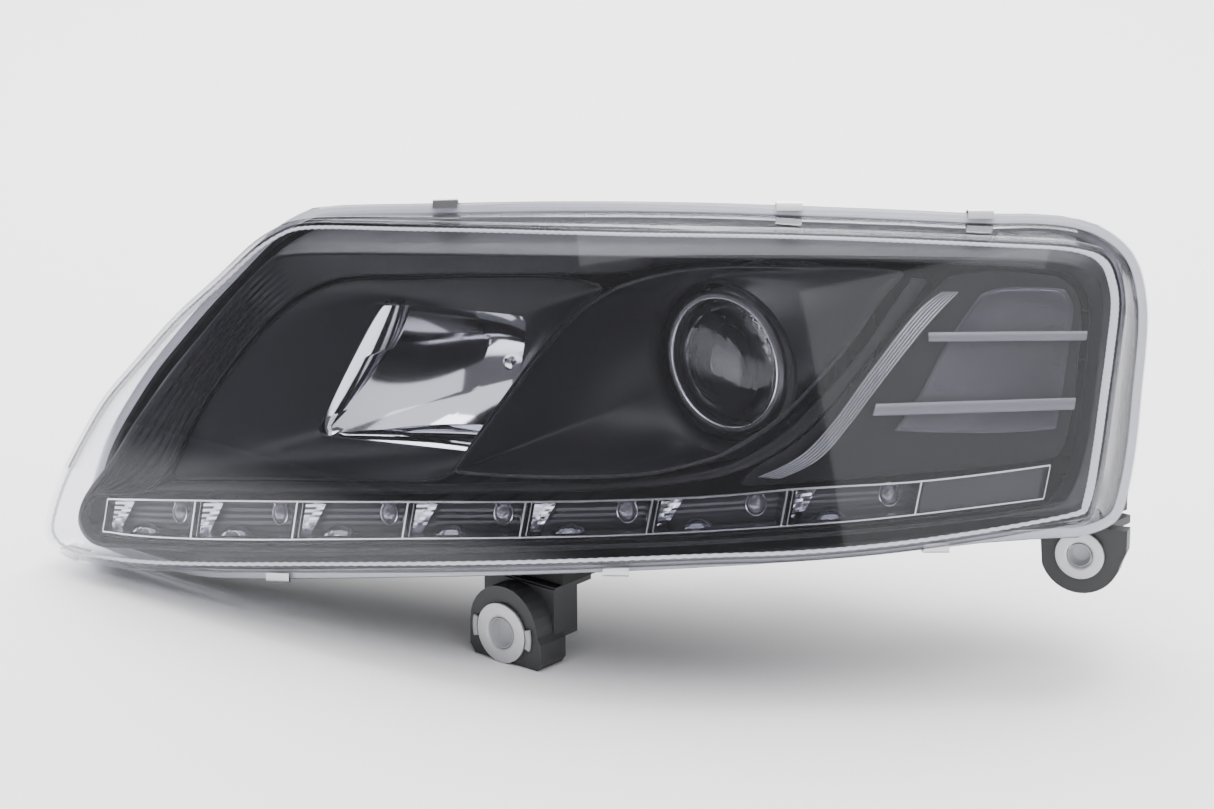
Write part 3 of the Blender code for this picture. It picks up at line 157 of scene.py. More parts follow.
GUIDE_LEFT = [(85, -41), (109, -29), (126, -12), (149, 19), (177, 54), (190, 64)]
GUIDE_RIGHT = [(98, -42), (120, -31), (137, -12), (156, 13), (181, 44), (200, 64)]
DRL_TOP = [(-313, -58), (-246, -57.5), (-120, -56), (-4, -54), (64, -51), (109, -47), (177, -43), (252, -34)]
DRL_BOTTOM = [(-309, -79.4), (-294, -81), (-246, -82), (-120, -78.5), (-4, -75), (64, -71.5), (137, -66.5),
              (177, -62.5), (248, -54)]
DRL_DIVIDERS = (-251, -185, -117, -48, 24, 100, 176)
DRL_OPTICS = (-264, -198, -130, -62, 9, 82, 158)


# ------------------------ camera, light and floor
def to_row(points):
    """Lamp millimetres to the frame's metres."""
    return (np.asarray(points, float) - CENTRE_BOLT) * MM


def add_camera():
    """Looks straight at the crest of the cover's face, with a long lens."""
    lens = bpy.data.cameras.new("camera")
    lens.sensor_width = SENSOR_WIDTH
    lens.lens = SENSOR_WIDTH * CAMERA_DISTANCE / VIEW_WIDTH
    camera = bpy.data.objects.new("camera", lens)
    turn = Matrix((ALONG, UP, OUT)).transposed().to_4x4()
    camera.matrix_world = Matrix.Translation(to_row(CAMERA_DISTANCE * OUT)) @ turn
    bpy.context.scene.collection.objects.link(camera)
    bpy.context.scene.camera = camera


def add_softbox(name, place, aim, width, height, power):
    """A rectangular studio light at a lamp point, turned towards another."""
    light = bpy.data.lights.new(name, "AREA")
    light.shape = "RECTANGLE"
    light.size, light.size_y = width, height
    light.energy = power
    obj = bpy.data.objects.new(name, light)
    obj.location = to_row(place)
    obj.rotation_euler = Vector(to_row(aim) - to_row(place)).to_track_quat("-Z", "Y").to_euler()
    bpy.context.scene.collection.objects.link(obj)


def add_studio():
    """Pale floor, pale surroundings and the softboxes."""
    world = bpy.data.worlds.new("studio")
    world.use_nodes = True
    world.node_tree.nodes["Background"].inputs["Color"].default_value = (0.93, 0.93, 0.96, 1)
    world.node_tree.nodes["Background"].inputs["Strength"].default_value = WORLD_LIGHT
    bpy.context.scene.world = world
    bpy.ops.mesh.primitive_plane_add(size=FLOOR_SIDE, location=(0, 0, FLOOR_Z))
    floor = bpy.context.active_object
    floor.name = "studio_floor"
    white = material("studio_white", (0.93, 0.93, 0.94), 0.9, grain=40, bump=0.0, tone=0.01)
    floor.data.materials.append(white)
    for name, (place, aim, width, height, power) in SOFTBOXES.items():
        add_softbox(name, place, aim, width, height, power)


# ------------------------ materials
def node_of(tree, kind, **values):
    """A shader node with its input sockets set by name."""
    made = tree.nodes.new(kind)
    for key, value in values.items():
        made.inputs[key.replace("_", " ")].default_value = value
    return made


def mapped(tree, source, low, high, target):
    """A value from 0 to 1 stretched between two others and fed to a socket."""
    stretch = node_of(tree, "ShaderNodeMapRange", To_Min=low, To_Max=high)
    tree.links.new(source, stretch.inputs["Value"])
    tree.links.new(stretch.outputs["Result"], target)


def noise_of(tree, **values):
    """Noise fixed to the piece."""
    noise = node_of(tree, "ShaderNodeTexNoise", **values)
    place = tree.nodes.new("ShaderNodeTexCoord")
    tree.links.new(place.outputs["Object"], noise.inputs["Vector"])
    return noise


def mixed(tree, first, second):
    """Two shaders mixed, and the socket for the second one's share."""
    mix = tree.nodes.new("ShaderNodeMixShader")
    tree.links.new(first, mix.inputs[1])
    tree.links.new(second, mix.inputs[2])
    return mix.outputs["Shader"], mix.inputs["Fac"]


def material(name, colour, roughness, metallic=0.0, grain=1500.0, bump=0.1, tone=0.12, spread=0.06,
             **sockets):
    """Principled finish with fine grain in its surface, and slow change in its tone and gloss."""
    made = bpy.data.materials.new(name)
    made.use_nodes = True
    tree = made.node_tree
    shader = tree.nodes["Principled BSDF"]
    shader.inputs["Metallic"].default_value = metallic
    for key, value in sockets.items():
        shader.inputs[key.replace("_", " ")].default_value = value
    fine = noise_of(tree, Scale=grain, Detail=3.0, Roughness=0.6)
    broad = noise_of(tree, Scale=28.0, Detail=4.0, Roughness=0.55)
    tint = tree.nodes.new("ShaderNodeMix")
    tint.data_type = "RGBA"
    tint.inputs["A"].default_value = (*[c * (1 - tone) for c in colour], 1)
    tint.inputs["B"].default_value = (*[min(1.0, c * (1 + tone)) for c in colour], 1)
    tree.links.new(broad.outputs["Fac"], tint.inputs["Factor"])
    tree.links.new(tint.outputs["Result"], shader.inputs["Base Color"])
    gloss = max(0.0, roughness - spread), min(1.0, roughness + spread)
    mapped(tree, broad.outputs["Fac"], *gloss, shader.inputs["Roughness"])
    if bump:
        relief = node_of(tree, "ShaderNodeBump", Strength=bump, Distance=0.0003)
        tree.links.new(fine.outputs["Fac"], relief.inputs["Height"])
        tree.links.new(relief.outputs["Normal"], shader.inputs["Normal"])
    return made


def sheer(name, tint, haze, haze_colour, gloss=0.04):
    """Thin clear plastic: seen through, with a mirror sheen by angle and a little moulded haze."""
    made = bpy.data.materials.new(name)
    made.use_nodes = True
    tree = made.node_tree
    mirror = tree.nodes["Principled BSDF"]
    mirror.inputs["Base Color"].default_value = (0.96, 0.96, 0.99, 1)
    mirror.inputs["Metallic"].default_value = 1.0
    ripple = noise_of(tree, Scale=16.0, Detail=2.0)
    mapped(tree, ripple.outputs["Fac"], gloss * 0.5, gloss * 1.5, mirror.inputs["Roughness"])
    clear = node_of(tree, "ShaderNodeBsdfTransparent", Color=(*tint, 1))
    milk = node_of(tree, "ShaderNodeBsdfDiffuse", Color=(*haze_colour, 1))
    body, milkiness = mixed(tree, clear.outputs["BSDF"], milk.outputs["BSDF"])
    speck = noise_of(tree, Scale=900.0, Detail=2.0)
    mapped(tree, speck.outputs["Fac"], haze * 0.6, haze * 1.4, milkiness)
    skin, sheen = mixed(tree, body, mirror.outputs["BSDF"])
    angle = node_of(tree, "ShaderNodeLayerWeight", Blend=0.5)
    steep = tree.nodes.new("ShaderNodeMath")
    steep.operation = "POWER"
    steep.inputs[1].default_value = 5.0
    tree.links.new(angle.outputs["Facing"], steep.inputs[0])
    mapped(tree, steep.outputs["Value"], SHEEN_FACING, SHEEN_GRAZING, sheen)
    tree.links.new(skin, tree.nodes["Material Output"].inputs["Surface"])
    return made


# ------------------------ curves and surfaces
def smooth(points, segments):
    """Evenly spaced points along the smooth curve through the given ones."""
    pts = np.array(points, float)
    if len(pts) == 2:
        steps = np.linspace(0, 1, segments + 1)[:, None]
        return pts[0] * (1 - steps) + pts[1] * steps
    knots = np.concatenate(([0], np.cumsum(np.linalg.norm(np.diff(pts, axis=0), axis=1) ** 0.5)))
    slopes = np.diff(pts, axis=0) / np.diff(knots)[:, None]
    left, right = np.diff(knots)[:-1, None], np.diff(knots)[1:, None]
    inner = (slopes[:-1] * right + slopes[1:] * left) / (left + right)
    tangents = np.vstack(([1.5 * slopes[0] - 0.5 * inner[0]], inner, [1.5 * slopes[-1] - 0.5 * inner[-1]]))
    dense = []
    for i, span in enumerate(np.diff(knots)):
        t = np.linspace(0, 1, 25)[:, None]
        dense.append((2 * t**3 - 3 * t**2 + 1) * pts[i] + (t**3 - 2 * t**2 + t) * span * tangents[i]
                     + (3 * t**2 - 2 * t**3) * pts[i + 1] + (t**3 - t**2) * span * tangents[i + 1])
    dense = np.vstack([part[:-1] for part in dense] + [pts[-1:]])
    run = np.concatenate(([0], np.cumsum(np.linalg.norm(np.diff(dense, axis=0), axis=1))))
    want = np.linspace(0, run[-1], segments + 1)
    return np.stack([np.interp(want, run, dense[:, k]) for k in range(dense.shape[1])], axis=1)


def outline(runs, short, long):
    """A closed loop from its left, top, right and bottom runs."""
    return np.vstack([smooth(run, count)[:-1] for run, count in zip(runs, (short, long, short, long))])


def patch(runs, short, long):
    """Rows of points that fill the area inside the four runs."""
    left, top, right, bottom = [smooth(run, count) for run, count in zip(runs, (short, long, short, long))]
    right, bottom = right[::-1], bottom[::-1]
    t = np.linspace(0, 1, short + 1)[:, None]
    rows = []
    for i in range(long + 1):
        s = i / long
        ruled = (1 - t) * bottom[i] + t * top[i] + (1 - s) * left + s * right
        corners = (1 - s) * ((1 - t) * left[0] + t * left[-1]) + s * ((1 - t) * right[0] + t * right[-1])
        rows.append(ruled - corners)
    return rows


def softened(loop, passes=2):
    """A closed loop, of points or of plain values, with its corners eased."""
    for _ in range(passes):
        loop = 0.25 * np.roll(loop, 1, axis=0) + 0.5 * loop + 0.25 * np.roll(loop, -1, axis=0)
    return loop


def inset(loop, distance):
    """The clockwise loop moved inwards in its own plane."""
    tangent = np.roll(loop, -1, axis=0) - np.roll(loop, 1, axis=0)
    tangent /= np.linalg.norm(tangent, axis=1)[:, None]
    inward = np.stack((tangent[:, 1], -tangent[:, 0]), axis=1)
    return loop + inward * np.reshape(distance, (-1, 1))


def face_depth(u, v):
    """How far forward the cover's face stands: swept back at the grille, gently curved elsewhere."""
    away = FACE_CREST_U - u
    grille = -SWEEP_DEPTH * (np.sqrt(1 + (np.maximum(away, 0) / SWEEP_RADIUS) ** 2) - 1)
    return grille - np.minimum(away, 0) ** 2 / WING_CURVE - v**2 / CROWN_CURVE


def to_lamp(u, v, w):
    """Points in the lamp's own axes."""
    return np.outer(u, ALONG) + np.outer(v, UP) + np.outer(w, OUT)


def on_face(loop, depth=0.0):
    """Points at a depth behind the outer face."""
    u, v = np.array(loop, float).T
    return to_lamp(u, v, face_depth(u, v) - depth)


def on_seam(loop, depth=0.0):
    """Points at a depth behind the seam between the lens and the housing."""
    u, v = np.array(loop, float).T
    return to_lamp(u, v, face_depth(u - 24.0, v - 8.5) - LENS_DEPTH - depth)


def finish_piece(name, bm, shade, body, nodes=(), slot=None, smooth_angle=40, facing=None):
    """An object from a bmesh in lamp millimetres, with its finish, riding on its CAD body.

    Fine curves can bulge a little past the CAD's chords, so every point is held inside the CAD's box.
    """
    bmesh.ops.recalc_face_normals(bm, faces=bm.faces)
    if facing is not None:
        total = sum((face.normal * face.calc_area() for face in bm.faces), Vector())
        if total.dot(Vector(facing)) < 0:
            bmesh.ops.reverse_faces(bm, faces=bm.faces)
    bmesh.ops.translate(bm, vec=-Vector(CENTRE_BOLT), verts=bm.verts)
    bmesh.ops.scale(bm, vec=(MM, MM, MM), verts=bm.verts)
    for vert in bm.verts:
        vert.co = [min(max(value, low), high) for value, low, high in zip(vert.co, *CAD_BOX)]
    mesh = bpy.data.meshes.new(name)
    bm.to_mesh(mesh)
    bm.free()
    mesh.shade_smooth()
    mesh.set_sharp_from_angle(angle=math.radians(smooth_angle))
    mesh.materials.append(shade)
    obj = bpy.data.objects.new(name, mesh)
    bpy.context.scene.collection.objects.link(obj)
    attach(obj, body)
    if nodes:
        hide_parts(*nodes)
    return obj


def net(bm, rows, closed=True, across=False, caps=False):
    """Faces through matching rows of points."""
    made = [[bm.verts.new(point) for point in row] for row in rows]
    pairs = list(zip(made, made[1:])) + ([(made[-1], made[0])] if across else [])
    for first, second in pairs:
        for i in range(len(first) if closed else len(first) - 1):
            j = (i + 1) % len(first)
            bm.faces.new((first[i], first[j], second[j], second[i]))
    if caps:
        bm.faces.new(made[0])
        bm.faces.new(made[-1])


def loft(name, rows, shade, body, nodes=(), slot=None, facing=None, wall=0.0, **shape):
    """A lofted piece, with an even wall behind it where one is given."""
    bm = bmesh.new()
    smooth_angle = shape.pop("smooth_angle", 40)
    net(bm, rows, **shape)
    obj = finish_piece(name, bm, shade, body, nodes, slot, smooth_angle, facing)
    if wall:
        shell = obj.modifiers.new("wall", "SOLIDIFY")
        shell.thickness = wall * MM
        shell.offset = -1.0
    return obj


def rounded(profile, radius, closed=False):
    """A profile with its corners rounded."""
    pts = np.array(profile, float)
    count = len(pts)
    made = []
    for i in range(count):
        if not closed and i in (0, count - 1):
            made.append(pts[i])
            continue
        before, after = pts[i - 1] - pts[i], pts[(i + 1) % count] - pts[i]
        reach = min(radius, 0.42 * np.linalg.norm(before), 0.42 * np.linalg.norm(after))
        start = pts[i] + before / np.linalg.norm(before) * reach
        stop = pts[i] + after / np.linalg.norm(after) * reach
        for t in (0.0, 0.33, 0.67, 1.0):
            made.append((1 - t) ** 2 * start + 2 * t * (1 - t) * pts[i] + t**2 * stop)
    return [tuple(point) for point in made]


def turned(name, profile, axis, shade, body, nodes=(), slot=None, steps=96, place=None, radius=0.5,
           lobes=None):
    """A profile of (radius, y) turned about the Y direction through (x, z); lobes scales radii by angle."""
    ring = min(r for r, _ in profile) > 0.01
    points = rounded(profile, radius, closed=ring)
    angles = np.linspace(0, 2 * math.pi, steps, endpoint=False)
    bm = bmesh.new()
    rows = []
    for r, y in points:
        if r < 0.01:
            rows.append([bm.verts.new((axis[0], y, axis[1]))])
            continue
        swell = np.ones(steps) if lobes is None else lobes(angles, r)
        rows.append([bm.verts.new((axis[0] + r * s * math.cos(a), y, axis[1] + r * s * math.sin(a)))
                     for a, s in zip(angles, swell)])
    for first, second in list(zip(rows, rows[1:])) + ([(rows[-1], rows[0])] if ring else []):
        for i in range(steps):
            j = (i + 1) % steps
            corners = [first[i % len(first)], first[j % len(first)], second[j % len(second)],
                       second[i % len(second)]]
            corners = list(dict.fromkeys(corners))
            if len(corners) > 2:
                bm.faces.new(corners)
    if place is not None:
        bmesh.ops.transform(bm, matrix=place, verts=bm.verts)
    return finish_piece(name, bm, shade, body, nodes, slot, 50)


def plate(name, loop, front, back, shade, body, nodes=(), slot=None, place=None, edge=1.2):
    """A plate with rounded edges, drawn in X and Z between two Y places."""
    ring = np.array(loop, float)
    centre = ring.mean(axis=0)
    away = ring - centre
    away /= np.linalg.norm(away, axis=1)[:, None]
    rows = []
    for t in np.linspace(0, math.pi / 2, 4):
        rows.append((ring - away * edge * (1 - math.sin(t)), front + edge * (1 - math.cos(t))))
    for t in np.linspace(math.pi / 2, 0, 4):
        rows.append((ring - away * edge * (1 - math.sin(t)), back - edge * (1 - math.cos(t))))
    bm = bmesh.new()
    net(bm, [[(x, y, z) for x, z in row] for row, y in rows], caps=True)
    if place is not None:
        bmesh.ops.transform(bm, matrix=place, verts=bm.verts)
    return finish_piece(name, bm, shade, body, nodes, slot, 50)


def arc(cx, cy, radius, start, end, count):
    """Points along a circle between two angles in degrees."""
    angles = np.radians(np.linspace(start, end, count))
    return [(cx + radius * math.cos(a), cy + radius * math.sin(a)) for a in angles]


# ------------------------ clear cover
SHORT, LONG = 60, 170
SEAM = inset(softened(outline(SEAM_EDGE, SHORT, LONG)), 0.65)
RIM = outline(LENS_EDGE, SHORT, LONG)


def clear_cover():
    """Crowned face, filleted edge, side wall and welding flange, one wall thick."""
    bm = bmesh.new()
    grid = [[bm.verts.new(point) for point in on_face(row)] for row in patch(LENS_EDGE, SHORT, LONG)]
    for i in range(LONG):
        for j in range(SHORT):
            bm.faces.new((grid[i][j], grid[i + 1][j], grid[i + 1][j + 1], grid[i][j + 1]))
    edge = ([grid[0][j] for j in range(SHORT)] + [grid[i][SHORT] for i in range(LONG)]
            + [grid[LONG][j] for j in range(SHORT, 0, -1)] + [grid[i][0] for i in range(LONG, 0, -1)])
    foot = on_seam(inset(SEAM, FLANGE - 0.8), 0)
    shoulder = on_face(inset(RIM, -2.4), 2.6)
    rings = [on_face(inset(RIM, -1.0), 0.4), on_face(inset(RIM, -1.9), 1.2), shoulder,
             shoulder * 0.5 + foot * 0.5, foot * 0.93 + shoulder * 0.07, foot, on_seam(SEAM, 0)]
    for ring in rings:
        row = [bm.verts.new(point) for point in ring]
        for i in range(len(row)):
            j = (i + 1) % len(row)
            bm.faces.new((edge[i], edge[j], row[j], row[i]))
        edge = row
    cover = finish_piece("clear_cover", bm, CLEAR, "housing", ["outer_lens"], "clear_polycarbonate", 50, OUT)
    shell = cover.modifiers.new("wall", "SOLIDIFY")
    shell.thickness = LENS_WALL * MM
    shell.offset = -1.0
    return cover


def rim_band():
    """Finely ribbed band moulded round the inside of the cover's edge, wider at the wing end."""
    ribs = 620
    share = ribs // 20
    loop = softened(outline(LENS_EDGE, 3 * share, 7 * share), 3)
    count = len(loop)
    wing = np.zeros(count)
    wing[10 * share:13 * share] = 1.0
    wing = softened(wing, 24)
    tooth = np.where(np.arange(count) % 2 == 0, 0.45, 0.0)
    near, far = 1.6 + tooth, 3.6 + 2.6 * wing + tooth
    rows = [on_face(inset(loop, near), 3.2), on_face(inset(loop, (near + far) / 2), 2.95),
            on_face(inset(loop, far), 3.4), on_face(inset(loop, far), 4.4), on_face(inset(loop, near), 4.2)]
    loft("rim_band", rows, FROST, "housing", across=True, smooth_angle=25)


def cover_flange():
    """Frosted lip where the cover is welded to the housing, seen as a pale line all round."""
    rows = [on_seam(inset(SEAM, d), depth) for d, depth in
            ((0.25, 2.75), (0.25, 3.9), (5.2, 3.9), (5.6, 3.3), (5.2, 2.75))]
    loft("weld_line", rows, FROST, "housing", ["lens_seal"], across=True, smooth_angle=40)


# ------------------------ black surrounds behind the cover
def bezel():
    """Frame that lines the cover's wall, rises to a ridge and falls to the mouth; fluted at the grille."""
    counts = (60, 150)
    foot = softened(outline(SEAM_EDGE, *counts))
    ridge = softened(outline(BEZEL_RIDGE, *counts))
    mouth = softened(outline(BEZEL_MOUTH, *counts))
    fluting = np.zeros(len(ridge))
    fluting[4:56] = 1.0
    fluting = softened(fluting, 14)
    rows = [on_seam(inset(foot, 14.0), -2.0), on_face(inset(ridge, -0.8), 14.0), on_face(ridge, 13.0),
            on_face(inset(ridge, 0.8), 12.2), on_face(inset(ridge, 1.8), 12.0)]
    start, stop = rows[-1], on_face(mouth, 19.0)
    flutes = 7
    for k in range(1, 4 * flutes):
        share = k / (4 * flutes)
        wave = 0.9 * math.sin(2 * math.pi * flutes * share)
        rows.append(start * (1 - share) + stop * share + np.outer(fluting * wave, OUT))
    rows += [on_face(inset(mouth, -0.5), 18.6), stop, on_face(inset(mouth, 0.5), 20.2)]
    loft("bezel_frame_fine", rows, SATIN_BLACK, "housing", ["bezel_frame"], "satin_black_bezel", OUT, 1.8)


def rounded_rectangle(x0, x1, z0, z1, short, long):
    """Clockwise loop in X and Z with softened corners, starting at the lower left."""
    c = 8.0
    runs = ([(x0 + c, z0), (x0 + 2, z0 + 2), (x0, z0 + c), (x0, z1 - c), (x0 + 2, z1 - 2), (x0 + c, z1)],
            [(x0 + c, z1), (x1 - c, z1)],
            [(x1 - c, z1), (x1 - 2, z1 - 2), (x1, z1 - c), (x1, z0 + c), (x1 - 2, z0 + 2), (x1 - c, z0)],
            [(x1 - c, z0), (x0 + c, z0)])
    return outline(runs, short, long)


def leaning(loop):
    """The high beam's opening leans: its grille side runs from a low tip up and towards the projector."""
    left, right, low, high = HIGH_HOLE
    share = np.clip((right - loop[:, 0]) / (right - left), 0, 1)
    rise = np.clip((loop[:, 1] - low) / (high - low), 0, 1)
    return np.stack((loop[:, 0] + share * (LEAN_FOOT + (LEAN_TOP - LEAN_FOOT) * rise), loop[:, 1]), axis=1)


def high_rim_y(x, z):
    """How far back the high beam's raked rim lies."""
    return -30.0 + (x + 200.0) * 0.37 + (z + 54.0) * 0.29


def high_beam_well():
    """Funnel from the bezel's mouth down to the high beam, its walls slightly hollow."""
    mouth = softened(outline(WELL_MOUTH, 48, 60))
    hole = leaning(rounded_rectangle(*HIGH_HOLE, 48, 60))
    back = np.stack((hole[:, 0], high_rim_y(hole[:, 0], hole[:, 1]) - 8.0, hole[:, 1]), axis=1)
    front = on_face(mouth, 24.0)
    rows = [on_face(inset(mouth, -1.6), 22.6), on_face(inset(mouth, -0.5), 23.0), front]
    for share in np.linspace(0, 1, 15)[1:-1]:
        rows.append(front * (1 - share) + back * share - 1.4 * math.sin(math.pi * share) * OUT)
    rows += [back, back + np.array((0, 1.6, 0))]
    loft("high_beam_well_fine", rows, SATIN_BLACK, "housing", ["high_beam_well"], "satin_black_bezel", OUT,
         1.6)


def projector_shroud():
    """Almond-shaped surround that sinks in a smooth bowl to the projector's ring."""
    edge_loop = softened(outline(SHROUD_EDGE, 60, 66))
    edge = on_face(edge_loop, 16.0)
    x0, z0 = PROJECTOR
    start = edge - np.array((x0, 0, z0))
    angles = np.unwrap(np.arctan2(start[:, 2], start[:, 0]))
    turn = math.copysign(2 * math.pi, angles[-1] - angles[0])
    even = np.linspace(angles[0], angles[0] + turn, len(angles) + 1)[:-1]
    angles = 0.35 * angles + 0.65 * even
    wing = (np.cos(angles) + 1) / 2
    reach = 49.0 + 5.5 * wing

    def circle(radius, y):
        return np.stack((x0 + radius * np.cos(angles), y, z0 + radius * np.sin(angles)), axis=1)
    lip = circle(reach, 75.0 + 8.0 * wing**2)
    middle = edge * 0.52 + lip * 0.48 - 6.0 * OUT
    rows = [on_face(inset(edge_loop, -1.0), 18.5), on_face(inset(edge_loop, -0.9), 16.8), edge,
            on_face(inset(edge_loop, 1.0), 15.7)]
    for t in np.linspace(0, 1, 17)[1:-1]:
        rows.append((1 - t) ** 2 * rows[3] + 2 * t * (1 - t) * middle + t**2 * lip)
    flat = np.full(len(angles), RING_FRONT_Y + 1.5)
    rows += [lip, circle(reach * 0.6 + 46.6 * 0.4, 76.5 + 8.0 * wing**2), circle(47.2, flat - 3.0),
             circle(46.6, flat)]
    loft("projector_shroud_fine", rows, SHROUD_BLACK, "housing", ["projector_shroud"], "satin_black_bezel",
         OUT, 1.8)


def ribbon(name, upper, lower, front, back, count, shade, nodes, slot, crown=0.6):
    """A bar with rounded front corners between two styling lines."""
    top, low = smooth(upper, count), smooth(lower, count)
    shares = (0.0, 0.04, 0.12, 0.3, 0.5, 0.7, 0.88, 0.96, 1.0)
    lifts = (1.3, 0.5, 0.1, -crown * 0.5, -crown, -crown * 0.5, 0.1, 0.5, 1.3)
    sections = []
    for i in range(count + 1):
        across = [top[i] * (1 - s) + low[i] * s for s in shares]
        section = [on_face([point], front + lift)[0] for point, lift in zip(across, lifts)]
        section += [on_face([point], back)[0] for point in (low[i], top[i])]
        sections.append(section)
    return loft(name, sections, shade, "housing", nodes, slot, caps=True, smooth_angle=35)


def light_guide():
    """Clear fluted strip that follows the swoosh, six flutes across with rounded crests."""
    count, flutes, fine = 90, 6, 6
    left, right = smooth(GUIDE_LEFT, count), smooth(GUIDE_RIGHT, count)
    steps = flutes * fine
    sections = []
    for i in range(count + 1):
        section = []
        for k in range(steps + 1):
            point = left[i] + (right[i] - left[i]) * k / steps
            lift = 1.5 * abs(math.sin(math.pi * k / fine))
            section.append(on_face([point], 15.4 - lift)[0])
        section += [on_face([point], 19.4)[0] for point in (right[i], left[i])]
        sections.append(section)
    loft("light_guide_fine", sections, GUIDE, "housing", ["light_guide"], "clear_polycarbonate", caps=True,
         smooth_angle=50)


# ------------------------ turn signal
def turn_bezel():
    """Flat surround of the turn signal's window."""
    outer, window = softened(outline(TURN_OUTER, 48, 48)), softened(outline(TURN_WINDOW, 48, 48))
    start, stop = on_face(outer, 21.0), on_face(window, 21.5)
    rows = [on_face(inset(outer, -0.4), 22.6), start]
    rows += [start * (1 - s) + stop * s for s in np.linspace(0, 1, 9)[1:-1]]
    rows += [stop, on_face(inset(window, 0.3), 22.0), on_face(inset(window, 0.6), 23.0)]
    loft("turn_bezel_fine", rows, SATIN_BLACK, "housing", ["turn_bezel"], "satin_black_bezel", OUT, 1.5)


def turn_reflector():
    """Bright bowl behind the turn window, its surface broken into small pillows."""
    window = on_face(inset(outline(TURN_WINDOW, 60, 60), 2.6), 27.0)
    x0, z0 = TURN
    start = window - np.array((x0, 0, z0))
    angles = np.unwrap(np.arctan2(start[:, 2], start[:, 0]))
    hole = np.stack((x0 + 12.5 * np.cos(angles), np.full(len(angles), TURN_VERTEX_Y),
                     z0 + 12.5 * np.sin(angles)),
                    axis=1)
    rows = []
    for share in np.linspace(0, 1, 49):
        row = window * (1 - share) + hole * share
        row[:, 1] += 10.0 * math.sin(share * math.pi)
        pillow = np.abs(np.sin(row[:, 0] * 0.62)) * np.abs(np.sin(row[:, 2] * 0.55))
        row[:, 1] += 1.1 * pillow * min(1.0, 8 * share, 8 * (1 - share))
        rows.append(row)
    loft("turn_reflector_fine", rows, CHROME, "housing", ["turn_reflector"], "vacuum_chrome", OUT, 1.4)


def turn_window():
    """Smoked plate over the turn signal, with fine vertical flutes moulded in its face."""
    rows = [on_face(row, 18.7 + 0.35 * (i % 2)) for i, row in enumerate(patch(TURN_WINDOW, 36, 96))]
    loft("turn_window_fine", rows, SMOKE, "housing", ["turn_inner_lens"], "smoked_plastic", OUT, 1.2,
         closed=False,
         smooth_angle=20)


# ------------------------ daytime-light bar
CELL_ENDS = (-311.0,) + DRL_DIVIDERS + (250.0,)
SLANT = 2.0
OPTIC_DEPTH, OPTIC_STRETCH, DOME_RADIUS, DOME_RISE = 27.6, 1.15, 5.0, 3.0
FUNNEL = ((0.0, 0.0, 0.0, 0.0, 11.0), (0.0, 0.0, 0.0, 0.0, 13.0), (0.8, 0.02, 0.02, 0.8, 15.5),
          (4.0, 0.12, 0.05, 2.0, 24.0), (5.0, 0.16, 0.08, 3.0, 28.0))


def drl_lines():
    """Gives the function that places points on the daytime-light bar."""
    top, low = smooth(DRL_TOP, 240), smooth(DRL_BOTTOM, 240)

    def point(u, share):
        """A point on the bar at a share of its height, leaning with the dividers."""
        across = u + SLANT * (share * 2 - 1)
        v_top, v_low = np.interp(across, top[:, 0], top[:, 1]), np.interp(across, low[:, 0], low[:, 1])
        return (across, v_low + (v_top - v_low) * share)
    return point


def drl_bar():
    """Tray of faceted funnels, its chrome walls painted darker and its floors painted near black as shade;
    the last cell, at the wing end, is blank.
    """
    point = drl_lines()
    walls, floors = bmesh.new(), bmesh.new()
    steps, blank = 12, len(CELL_ENDS) - 2
    for k, (start, stop) in enumerate(zip(CELL_ENDS, CELL_ENDS[1:])):
        edge = (start + (1.6 if k else 0.6), stop - 0.6)
        funnel = FUNNEL[:3] if k == blank else FUNNEL
        loops = []
        for from_left, from_low, from_top, from_right, depth in funnel:
            low_share, top_share = 0.06 + from_low, 0.94 - from_top
            us = np.linspace(edge[0] + from_left, edge[1] - from_right, steps + 1)
            shares = np.linspace(low_share, top_share, 6)
            loop = [point(us[0], s) for s in shares[:-1]] + [point(u, top_share) for u in us[:-1]]
            loop += [point(us[-1], s) for s in shares[::-1][:-1]] + [point(u,
                                                                           low_share) for u in us[::-1][:-1]]
            loops.append(on_face(loop, depth))
        net(walls, loops)
        for i in range(steps):
            for j in range(8):
                corners = []
                for di, dj in ((0, 0), (1, 0), (1, 1), (0, 1)):
                    u = us[i + di]
                    share = low_share + (top_share - low_share) * (j + dj) / 8
                    relief = 0.5 * ((i + di) % 2) * ((j + dj) % 2) * (k != blank)
                    corners.append(on_face([point(u, share)], depth - relief)[0])
                floors.faces.new([floors.verts.new(corner) for corner in corners])
    bmesh.ops.remove_doubles(floors, verts=floors.verts, dist=0.001)
    finish_piece("drl_cells", walls, DRL_CHROME_PAINTED_SHADE, "housing", ["drl_frame"], "vacuum_chrome", 20, OUT)
    finish_piece("drl_floors", floors, DRL_FLOOR_PAINTED_SHADE, "housing", (), "vacuum_chrome", 10, OUT)


def drl_wedges():
    """Bright ribbed facet beside each divider, broad at the top and narrow at the foot, and a low arch."""
    point = drl_lines()
    bm = bmesh.new()
    for k in range(len(CELL_ENDS) - 2):
        left = CELL_ENDS[k] + 5.2
        rows = []
        for j in range(13):
            t = j / 12
            row = []
            for i in range(9):
                s = i / 8
                u = left + s * (5.0 + 7.0 * t)
                row.append(on_face([point(u, 0.1 + 0.8 * t)], 14.5 + 8.0 * s + 0.35 * (j % 2))[0])
            rows.append(row)
        net(bm, rows, closed=False)
        rows = []
        for i in range(17):
            s = i / 16
            u = left + 9.0 + s * 26.0
            arch = 0.1 + 0.26 * math.sin(math.pi * s)
            rows.append([on_face([point(u, share)], depth)[0] for share, depth in
                         ((0.08, 17.0), (0.08 + (arch - 0.1) * 0.6, 20.5), (arch, 25.5))])
        net(bm, rows, closed=False)
    finish_piece("drl_wedges", bm, CHROME, "housing", (), "vacuum_chrome", 15, OUT)


